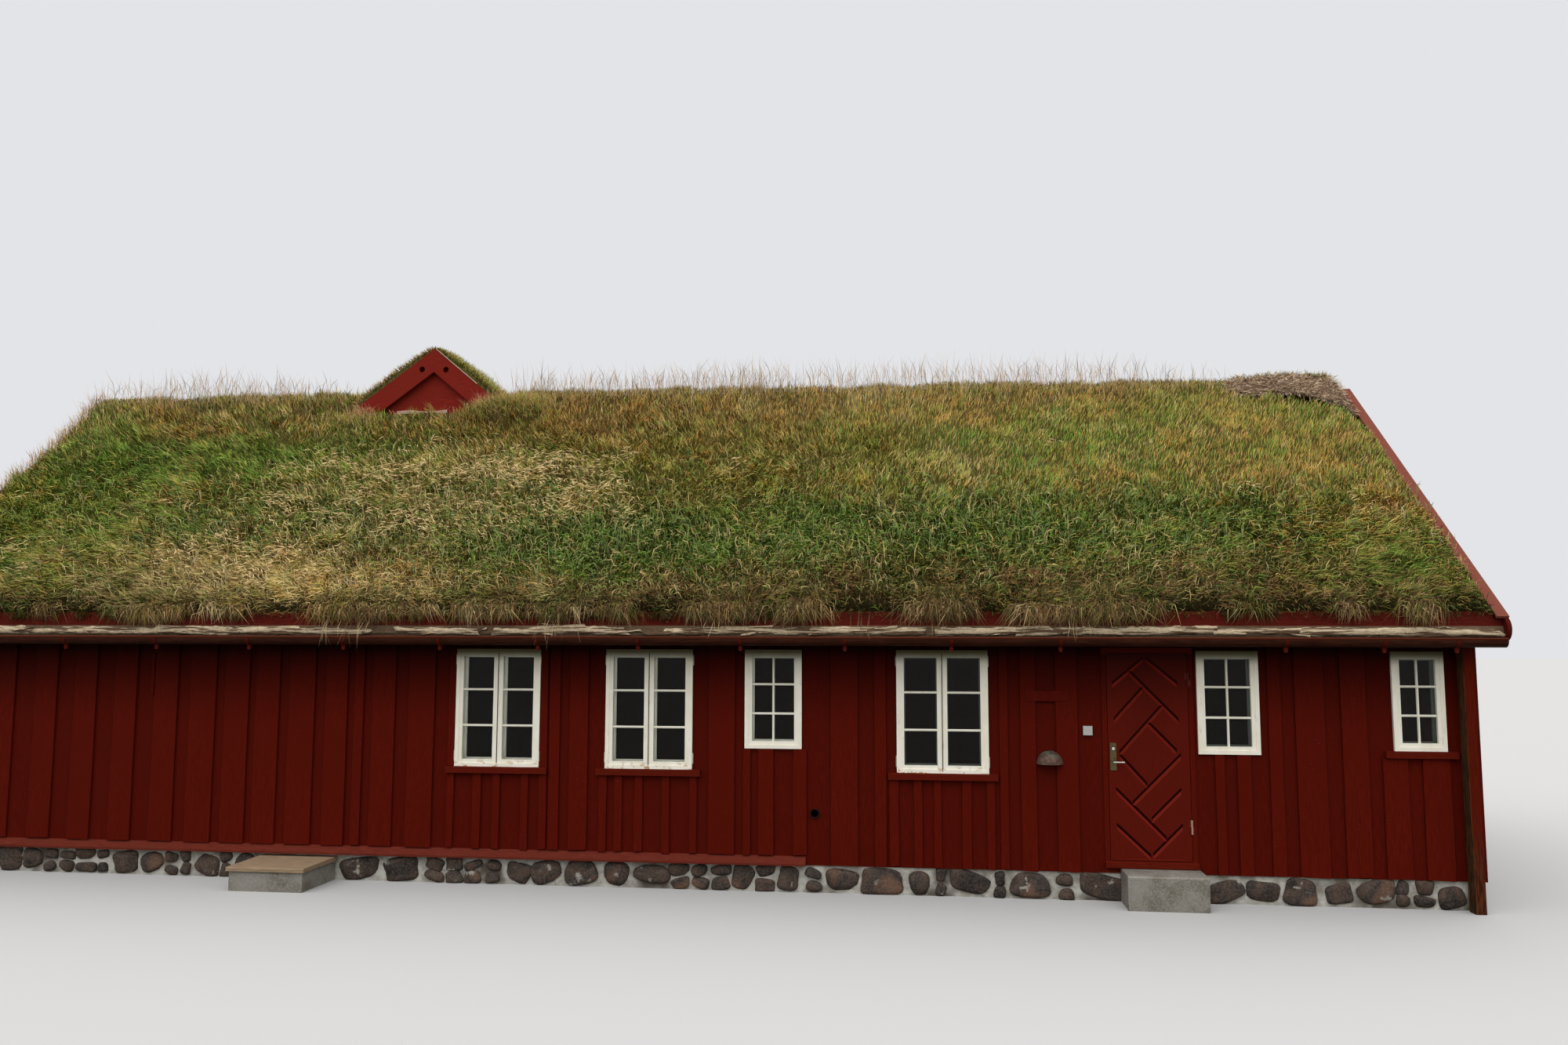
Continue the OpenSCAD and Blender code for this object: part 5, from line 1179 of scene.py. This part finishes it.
# Painted shade at the stalks' feet
STALK_SHADES = (0.8, 1.0, 1.0, 1.0)
STALK_WIDTHS = (0.0035, 0.0065)
STALK_SPOTS = [(x, 0.12, 0.35, 0.22, share, tall) for x, share, tall in (
    (-8.5, 0.6, 1.0), (-7.8, 1.2, 1.2), (-7.1, 1.6, 1.3), (-6.4, 1.3, 1.1), (-5.7, 0.9, 1.0), (-5.0, 0.5, 0.8),
    (-3.4, 0.3, 0.7), (-2.3, 1.5, 1.2), (-1.6, 1.2, 1.0), (-0.9, 1.3, 1.1), (-0.2, 1.3, 1.1), (0.5, 2.0, 1.25),
    (1.2, 1.6, 1.2), (1.9, 1.2, 1.1), (2.6, 1.5, 1.2), (3.3, 1.4, 1.2), (4.0, 1.2, 1.1), (4.7, 1.2, 1.2),
    (5.4, 1.2, 1.2), (6.1, 0.9, 1.0), (6.8, 0.5, 0.9), (7.5, 0.4, 0.8), (8.2, 0.4, 0.7),
)]
leaves("ridge_stalks", STALK_SPOTS, 2100, 490, (0.20, 0.50), STALK_WIDTHS, STALK_TONES, 0.93, 1, STALK_SHADES)
leaves("back_ridge_stalks", STALK_SPOTS, 1000, 491, (0.20, 0.46), STALK_WIDTHS, STALK_TONES, 0.93, -1, STALK_SHADES)
leaves("verge_stalks", [
    (TURF_LEFT + 0.08, 0.8, 0.08, 0.8, 1.0, 1.0), (TURF_LEFT + 0.08, 2.6, 0.08, 1.0, 0.7, 0.9),
    (TURF_RIGHT - 0.3, 3.3, 0.15, 0.5, 0.3, 0.7),
], 900, 492, (0.15, 0.32), (0.004, 0.008), STALK_TONES, 0.9)

# Where the seed heads gather: middle x, distance down the slope, two half widths
HEAD_SPOTS = np.array([
    (-3.6, 2.0, 1.3, 0.40), (-2.1, 2.6, 1.4, 0.50), (-0.9, 3.0, 0.8, 0.30), (-2.6, 3.4, 1.3, 0.40),
    (-4.2, 3.2, 0.9, 0.50), (-4.4, 4.2, 1.2, 0.30), (-1.6, 2.2, 0.9, 0.35),
])


def seed_heads(name, count, seed):
    """Pale seed heads that lean over the straw patch in groups: slim spindles on the tips of the grass."""
    random = np.random.default_rng(seed)
    groups = count // 9
    spot = HEAD_SPOTS[random.integers(0, len(HEAD_SPOTS), groups)]
    gx = random.normal(spot[:, 0], spot[:, 2] * 0.6)
    gd = random.normal(spot[:, 1], spot[:, 3] * 0.8)
    wild = random.random(groups) < 0.08
    gx[wild] = random.uniform(TURF_LEFT + 0.5, TURF_RIGHT - 0.5, wild.sum())
    lean = random.normal(0.0, 0.55, groups)
    own = random.integers(0, groups, count)
    x = gx[own] + random.normal(0, 0.10, count)
    d = np.clip(gd[own] + random.normal(0, 0.10, count), 0.3, SLOPE_LEN - 0.3)
    foot, normal, down = turf_point(x, d, 1)
    stem = random.uniform(0.11, 0.19, count)
    start = foot + unit(normal + random.normal(0, 0.22, (count, 3))) * stem[:, None]
    fall = down * (lean[own] + random.normal(0, 0.3, count))[:, None]
    aim = unit(ACROSS * 0.8 + fall + random.normal(0, 0.2, (count, 3)))
    long = random.uniform(0.07, 0.15, count)
    batch = Batch()
    faces = [(k, (k + 1) % 4, 4) for k in range(4)] + [((k + 1) % 4, k, 5) for k in range(4)]
    for p, a, size, thick in zip(start, aim, long, random.uniform(0.0035, 0.0065, count)):
        u = unit(np.cross(a, (0.2, 0.4, 1.0))) * thick
        v = unit(np.cross(a, u)) * thick
        waist = p + a * size * 0.45
        ring = [waist + w for w in (u, v, -u, -v)]
        batch.add([tuple(q) for q in ring + [p + a * size - UP * 0.012, p]], faces)
    batch.piece(name, HEADS, "turf", smooth=True)


seed_heads("seed_heads", 1700, 455)
leaves("straw_leaves", [
    (-3.7, 2.1, 1.1, 0.40, 1.0, 1.0), (-2.2, 2.7, 1.2, 0.50, 1.2, 1.0), (-4.2, 3.4, 0.8, 0.40, 0.7, 1.0),
    (-2.6, 3.8, 1.2, 0.40, 0.8, 1.0), (-4.7, 4.25, 1.0, 0.30, 1.0, 0.9), (-3.2, 4.4, 1.2, 0.25, 0.8, 0.9),
    (0.8, 4.5, 1.0, 0.20, 0.4, 0.8), (3.5, 4.5, 2.2, 0.20, 0.7, 0.8), (6.5, 4.2, 1.4, 0.25, 0.4, 0.8),
    (-3.0, 4.62, 1.0, 0.12, 1.3, 0.8),
], 7500, 457, (0.11, 0.24), (0.0045, 0.0085),
    ((0.62, 0.48, 0.22), (0.74, 0.58, 0.32), (0.46, 0.34, 0.14), (0.50, 0.33, 0.14)), 0.5)

# The straws over the gutter: middle x, length, share
STRAW_SPOTS = np.array([
    (-2.84, 0.33, 1.0), (-2.98, 0.22, 0.7), (-2.60, 0.16, 0.6), (-0.62, 0.25, 1.4), (-0.40, 0.18, 0.8),
    (1.2, 0.14, 0.6), (3.5, 0.12, 0.5), (2.72, 0.17, 1.0), (4.91, 0.13, 0.5), (-5.0, 0.15, 0.5),
])
STRAW_TONES = np.array([(0.30, 0.20, 0.10), (0.46, 0.34, 0.18), (0.16, 0.10, 0.05), (0.60, 0.46, 0.28)])


def hanging_straws(name, count, seed):
    """A few long withered straws that hang from the eaves over the gutter."""
    random = np.random.default_rng(seed)
    own = STRAW_SPOTS[random.choice(len(STRAW_SPOTS), count, p=STRAW_SPOTS[:, 2] / STRAW_SPOTS[:, 2].sum())]
    x = own[:, 0] + random.normal(0, 0.06, count)
    base = turf_point(x, np.full(count, LIP_D + 0.03), 1)[0]
    edge = base.copy()
    edge[:, 0] += random.normal(0.01, 0.05, count)
    edge[:, 1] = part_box("gutter_front")[0].y - random.uniform(0.004, 0.014, count)
    edge[:, 2] = EAVES_Z + random.uniform(0.0, 0.05, count)
    fall = unit(DROOP + random.normal(0, 0.30, (count, 3)) * (1, 0.1, 0.3))
    tip = edge + fall * (own[:, 1] * random.uniform(0.2, 1.0, count))[:, None]
    tones = STRAW_TONES[random.integers(0, 4, count)]
    blade_mesh(name, random, (base, edge, tip), (0.003, 0.006), tones, np.array([0.0, -1.0, 0.0]))


FRINGE_CLUMPS = 330
FRINGE_TONES = np.array([
    (0.13, 0.080, 0.034), (0.44, 0.32, 0.15), (0.19, 0.17, 0.042), (0.28, 0.16, 0.060), (0.10, 0.145, 0.027),
    (0.60, 0.46, 0.26),
])
FRINGE_UPPER = np.array((0.19, 0.175, 0.048))
# How far the hanging grass reaches below the turf board's top, by the strength of its tuft
HANG_POWER = [0.1, 0.25, 0.6, 0.95, 1.2]
HANG_DEPTH = [0.0, 0.050, 0.140, 0.195, 0.230]


def fringe(name, side, count, seed):
    """Withered grass and roots that hang over the turf board in uneven tufts."""
    random = np.random.default_rng(seed)
    cx = random.uniform(TURF_LEFT + 0.02, TURF_RIGHT - 0.02, FRINGE_CLUMPS)
    vigour = random.uniform(0.25, 1.05, FRINGE_CLUMPS)
    for low, high in BARE:
        vigour[(cx > low) & (cx < high)] *= 0.12
    tufts = np.repeat(np.array(TUFTS), 3, axis=0)
    cx = np.concatenate([cx, tufts[:, 0] + random.normal(0, 0.09, len(tufts))])
    vigour = np.concatenate([vigour, tufts[:, 1] * random.uniform(1.1, 1.7, len(tufts))])
    heading = random.normal(0, 0.45, len(cx))
    tone = random.choice(6, len(cx), p=[0.30, 0.20, 0.12, 0.26, 0.06, 0.06])
    own = random.choice(len(cx), count, p=vigour / vigour.sum())
    power = vigour[own]
    offset = random.normal(0, 0.026 + 0.030 * power)
    x = np.clip(cx[own] + offset, TURF_LEFT + 0.01, TURF_RIGHT - 0.01)
    d = random.uniform(LIP_D - 0.24, SLOPE_LEN - 0.03, count)
    d = np.where(power < 0.25, np.minimum(d, LIP_D - 0.02), d)
    base = turf_point(x, d, side)[0]
    outward = np.array([0.0, -side, 0.0])
    reach = random.uniform(0.06, 0.30, count) * (0.30 + 0.90 * power)
    lean = heading[own] + offset * 3 + random.normal(0, 0.38, count)
    sideways = lean[:, None] * ACROSS
    rise = unit(outward * 0.9 + DROOP * 0.25 + sideways)
    fall = unit(DROOP * 1.3 + 0.45 * sideways - outward * 0.1 + random.normal(0, 0.38, (count, 3)))
    foot, middle, tip = bent(base, rise, fall, reach, 0.5, 0.75)
    for points in (middle, tip):
        clip_over(points, 0.04, 0.02)
    hang = np.interp(power, HANG_POWER, HANG_DEPTH) * random.uniform(0.6, 1.1, count)
    tip[:, 2] = np.maximum(tip[:, 2], TURF_BOARD_TOP - hang)
    inner = RIDGE_Y - side * (REACH + 0.012)
    tip[:, 1] = np.minimum(tip[:, 1], inner) if side > 0 else np.maximum(tip[:, 1], inner)
    clumped = random.random(count) < 0.6
    choice = np.where(clumped, tone[own], random.choice(6, count, p=[0.34, 0.22, 0.18, 0.14, 0.08, 0.04]))
    level = random.uniform(0.5, 1.4, count) * (1 + 0.40 * np.exp(-((x + 3.6) / 1.7) ** 2))
    upper = 0.6 * np.clip((LIP_D - d) / 0.20, 0, 1)[:, None]
    colours = (FRINGE_TONES[choice] * (0.88, 0.84, 0.80) * (1 - upper) + upper * FRINGE_UPPER) * level[:, None]
    facing = unit(outward + UP * 0.9)
    # Painted shade at the feet of the hanging blades; their tips are darker as well
    blade_mesh(name, random, (foot, middle, tip), (0.004, 0.009), colours, facing, (0.45, 0.92, 0.92, 0.60))


hanging_straws("hanging_straws", 70, 472)
fringe("front_fringe", 1, 30000, 470)
fringe("back_fringe", -1, 7000, 480)

# The small gable on the ridge, which leans a little to the right
GABLET_LEAN = math.radians(2)
GABLET_TOP = GABLET_HIGH.z
GABLET_TURF_LOW, GABLET_TURF_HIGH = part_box("gablet_turf")
GABLET_SPAN = (GABLET_X - GABLET_HALF - 0.04, GABLET_X + GABLET_HALF + 0.04)


def leaned(points):
    dx = points[..., 0] - GABLET_X
    dz = points[..., 2] - RIDGE_Z
    turned = points.copy()
    turned[..., 0] = GABLET_X + dx * math.cos(GABLET_LEAN) + dz * math.sin(GABLET_LEAN)
    turned[..., 2] = RIDGE_Z - dx * math.sin(GABLET_LEAN) + dz * math.cos(GABLET_LEAN)
    return turned


def gablet_surface(x, y):
    """Height of the turf on the small gable, before it leans."""
    out = np.abs(x - GABLET_X) / GABLET_HALF
    thick = np.interp(out, [0.0, 0.08, 0.5, 1.0, 1.02, 1.07], [0.066, 0.082, 0.104, 0.100, 0.08, 0.01])
    thick = thick + 0.012 * value_noise(x, y, 0.2, 501)
    return GABLET_TOP - np.abs(x - GABLET_X) * math.tan(PITCH) + thick / math.cos(PITCH)


def gablet_sods():
    ys = np.linspace(GABLET_TURF_LOW.y - 0.01, GABLET_TURF_HIGH.y, 24)
    x, y = np.meshgrid(np.linspace(*GABLET_SPAN, 44), ys, indexing="ij")
    top = leaned(columns(x, y, gablet_surface(x, y)))
    low = leaned(columns(x, y, GABLET_TOP - np.abs(x - GABLET_X) * math.tan(PITCH) - 0.002))
    skirts = ((top[:, 0], low[:, 0]), (top[:, -1], low[:, -1]), (top[0], low[0]), (top[-1], low[-1]))
    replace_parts(grid_piece("gablet_sods", SOD, top, np.ones(top.shape[:2], bool), skirts), "gablet_turf")


def gablet_grass(count, seed):
    """Short grass on the small gable, greener and longer on its right slope, and over its front edge."""
    random = np.random.default_rng(seed)
    x = random.uniform(*GABLET_SPAN, count)
    y = random.uniform(GABLET_TURF_LOW.y - 0.01, GABLET_TURF_HIGH.y + 0.005, count)
    front = random.random(count) < 0.38
    y[front] = GABLET_TURF_LOW.y - random.uniform(0.0, 0.012, front.sum())
    base = columns(x, y, gablet_surface(x, y) - 0.012 - np.where(front, random.uniform(0.0, 0.03, count), 0.0))
    sign = np.sign(x - GABLET_X)
    normal = columns(sign * math.sin(PITCH), 0 * x, np.full(count, math.cos(PITCH)))
    out = np.abs(x - GABLET_X) / GABLET_HALF
    right_tall = np.interp(out, [0, 0.12, 0.4, 1.0], [0.6, 1.1, 1.4, 1.6])
    left_tall = np.interp(out, [0, 0.1, 1.0], [0.6, 1.0, 1.4])
    reach = random.uniform(0.03, 0.105, count) * np.where(sign > 0, right_tall, left_tall)
    spread = random.normal(0, 0.38, (count, 3))
    rise = unit(normal + UP * 0.3 + spread)
    stems = bent(base, rise, unit(rise + spread * 0.6 + DROOP * 0.35), reach)
    right = random.choice(5, count, p=[0.38, 0.12, 0.16, 0.26, 0.08])
    left = random.choice(5, count, p=[0.18, 0.36, 0.26, 0.06, 0.14])
    tones = np.array([OLIVE, RUST, STRAW, GREEN, BROWN])[np.where(sign > 0, right, left)]
    colours = tones * random.uniform(0.65, 1.3, count)[:, None]
    facing = unit(normal + np.array([0, -0.3, 0]))
    blade_mesh("gablet_grass", random, [leaned(p) for p in stems], (0.004, 0.007), colours, facing)


def pale_strips():
    """The pale drip strip along the small gable's right slope, and the bent strip at its foot."""
    peak = RIDGE_Z + (GABLET_BOARDS[1].z - RIDGE_Z) / math.cos(GABLET_LEAN)
    section = ((-0.010, -0.006), (-0.010, 0.008), (0.02, 0.008), (0.02, -0.006))
    drip = Batch()
    drip.rings([
        [tuple(p) for p in leaned(np.array([
            (GABLET_X + x, GABLET_BOARDS[0].y + b, peak - x * math.tan(PITCH) + c) for b, c in section
        ]))] for x in (0.015, 0.64)
    ])
    drip.piece("gable_drip_strip", PALE_STRIP, "timber")
    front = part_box("gablet_walls")[0].y - 0.004
    section = ((0.0, -0.03), (-0.022, -0.03), (-0.028, 0.006), (-0.018, 0.016), (0.0, 0.016))
    foot = Batch()
    foot.rings([
        [(-4.02 + 0.74 * k / 8, front + a, 5.795 + 0.012 * math.sin(k * 0.9) + b) for a, b in section] for k in range(9)
    ])
    foot.piece("gable_foot_strip", PALE_STRIP, "timber")


gablet_sods()
gablet_grass(9000, 510)
pale_strips()
# The stalks on the small gable have a little painted shade at their feet
leaves("gable_stalks", [
    (GABLET_X - GABLET_HALF + 0.12, 0.72, 0.12, 0.03, 1.0, 1.0), (GABLET_RIGHT - 0.15, 0.70, 0.16, 0.03, 1.2, 1.2),
    (GABLET_X + 0.30, 0.74, 0.2, 0.02, 0.5, 0.9),
], 260, 498, (0.16, 0.34), (0.003, 0.006), ((0.50, 0.22, 0.13), (0.56, 0.30, 0.18), (0.42, 0.20, 0.11)), 0.9, 1,
    (0.9, 1.0, 1.0, 1.0))

# The slab of dry sods that lies over the right end of the ridge
SLAB_LEFT = 7.30
SLAB_RIGHT = TURF_RIGHT - 0.015
SLAB_BACK = -0.22


def slab_thick(x):
    return np.interp(x, [SLAB_LEFT, 7.5, 7.9, 8.5, 8.7, 8.80], [0.02, 0.085, 0.125, 0.135, 0.13, 0.10])


def turf_top(x, r):
    """Height of the turf under the slab, at a level distance r in front of the ridge."""
    n = len(TURF_SECTION)
    return turf_point(x, np.interp(np.abs(r), SECTION_R[:n], SECTION_D[:n]), 1)[0][..., 2]


def slab_top(x, r):
    share = np.clip((slab_edge(x) - r) / 0.12, 0, 1)
    rounding = np.sqrt(np.clip(1 - (1 - share) ** 2, 0, 1))
    behind = np.clip((r - SLAB_BACK) / 0.12, 0.0, 1.0)
    lumps = swells(x, r, (0.018, 0.16, 542), (0.010, 0.05, 543))
    return turf_top(x, r) + slab_thick(x) * (0.62 + 0.38 * rounding) * behind + lumps


def dry_slab():
    rings = []
    for x in np.linspace(SLAB_LEFT, SLAB_RIGHT, 44):
        at = np.array(x)
        edge = float(slab_edge(at))
        thick = float(slab_thick(at))
        ground = float(turf_top(at, np.array(edge)))
        ring = [(r, float(slab_top(at, np.array(r)))) for r in np.linspace(SLAB_BACK, edge, 20)]
        for out, share in ((0.020, 0.45), (0.022, 0.30), (0.004, 0.20), (-0.040, 0.14), (-0.10, 0.02)):
            wobble = 0.014 * float(value_noise(x, share * 2, 0.07, 545))
            ring.append((edge + out + wobble, ground + share * thick + 0.015))
        for r in np.linspace(edge - 0.14, SLAB_BACK + 0.03, 6):
            ring.append((r, float(turf_top(at, np.array(r))) - 0.05))
        rings.append([(x, RIDGE_Y - r, z) for r, z in ring])
    batch = Batch()
    batch.rings(rings)
    batch.piece("dry_slab", ROOTS, "turf", smooth=True)


def slab_grass(count, seed):
    """Tangled dry blades over the slab, greener on its top, and roots that hang from its edge."""
    random = np.random.default_rng(seed)
    x = random.uniform(SLAB_LEFT + 0.02, SLAB_RIGHT, count)
    edge = slab_edge(x)
    share = random.random(count)
    r = SLAB_BACK + 0.02 + (edge - SLAB_BACK) * share
    base = columns(x, RIDGE_Y - r, slab_top(x, r) - 0.01)
    lip = share > 0.86
    high = share < 0.40
    flow = columns(*(random.normal(*p, count) for p in ((0, 1.0), (-0.1, 0.6), (0.1, 0.3))))
    n = lip.sum()
    flow[lip] = columns(random.normal(0, 0.7, n), random.uniform(-0.7, -0.1, n), random.normal(-0.3, 0.3, n))
    flow = unit(flow)
    flow[high] = unit(flow[high] + UP * 0.8)
    reach = random.uniform(0.04, 0.13, count)
    fall = unit(flow + random.normal(0, 0.4, (count, 3)) + DROOP * 0.3)
    base, middle, tip = bent(base, flow, fall, reach)
    tip[:, 0] = np.minimum(tip[:, 0], SLAB_RIGHT + 0.03)
    dry = np.array([(0.56, 0.41, 0.28), (0.38, 0.26, 0.175), (0.68, 0.52, 0.36), (0.22, 0.145, 0.10)])
    fresh = np.array([OLIVE, RUST, BROWN, GREEN])
    pick = random.integers(0, 4, count)
    tones = np.where((high & (random.random(count) < 0.75))[:, None], fresh[pick], dry[pick])
    colours = tones * random.uniform(0.7, 1.25, count)[:, None]
    facing = unit(np.array([0.0, -0.6, 0.8]))
    blade_mesh("dry_slab_grass", random, (base, middle, tip), (0.004, 0.008), colours, facing)


dry_slab()
slab_grass(8000, 530)

# Stage, light and camera
FLOOR_SIZE = 160.0
FLOOR_PALE = (0.52, 0.52, 0.515)
GROUND_GREY = (0.085, 0.09, 0.07)
SKY = (0.77, 0.775, 0.80)
SKY_LIGHT = (1.0, 0.99, 0.98)
ZENITH = 1.6
HORIZON = 0.5 * ZENITH
SUN = 0.7
SUN_SPREAD = 60
SUN_TURN = (38, -12, 0)
CAMERA_AT = (3.35, -15.894, 2.63)
CAMERA_TURN = (95.63, -0.11, 6.78)
LENS_MM = 27.0


def seen_straight(n):
    """1 for what the camera sees, also in mirrors and through panes, and 0 for light on other things."""
    path = n.tree.nodes.new("ShaderNodeLightPath").outputs
    seen = n.math("MAXIMUM", path["Is Camera Ray"], path["Is Glossy Ray"])
    return n.math("MAXIMUM", seen, path["Is Transmission Ray"])


def stage():
    """A floor that looks pale but throws up as little light as the ground does."""
    mesh = bpy.data.meshes.new("floor_plane")
    corners = [(FLOOR_SIZE * x, FLOOR_SIZE * y, 0) for x, y in ((-1, -1), (1, -1), (1, 1), (-1, 1))]
    mesh.from_pydata(corners, [], [(0, 1, 2, 3)])
    floor = put_in_scene("floor_plane", mesh)
    material = bpy.data.materials.new("pale_floor")
    material.use_nodes = True
    material.node_tree.nodes.clear()
    n = Nodes(material.node_tree)
    grey, pale = (n.node("BsdfDiffuse", {"Color": c}, "BSDF") for c in (GROUND_GREY, FLOOR_PALE))
    mixed = n.node("MixShader", {"Fac": seen_straight(n), "Shader": grey, "Shader_001": pale}, "Shader")
    n.tree.links.new(mixed, n.tree.nodes.new("ShaderNodeOutputMaterial").inputs["Surface"])
    mesh.materials.append(material)


def sky():
    """An overcast sky, brighter overhead than at its edge. The camera sees it plain."""
    world = bpy.data.worlds.new("overcast")
    bpy.context.scene.world = world
    world.use_nodes = True
    n = Nodes(world.node_tree)
    up = n.node("SeparateXYZ", {"Vector": n.node("TexCoord", {}, "Generated")}, "Z")
    height = n.node("MapRange", {"Value": up, "To Min": HORIZON, "To Max": ZENITH}, "Result")
    shown = n.mix(seen_straight(n), n.mix(1.0, SKY_LIGHT, height, "MULTIPLY"), SKY)
    background = n.tree.nodes["Background"].inputs
    n.tree.links.new(shown, background["Color"])
    background["Strength"].default_value = 1.0
    light = bpy.data.lights.new("soft_sun", "SUN")
    light.energy = SUN
    light.angle = math.radians(SUN_SPREAD)
    put_in_scene("soft_sun", light).rotation_euler = [math.radians(a) for a in SUN_TURN]


def camera():
    data = bpy.data.cameras.new("photo_camera")
    data.lens = LENS_MM
    data.sensor_width = 36.0
    data.clip_end = 600.0
    made = put_in_scene("photo_camera", data)
    made.location = CAMERA_AT
    made.rotation_euler = [math.radians(a) for a in CAMERA_TURN]
    bpy.context.scene.camera = made


stage()
sky()
camera()
bpy.context.scene.view_settings.view_transform = "Standard"
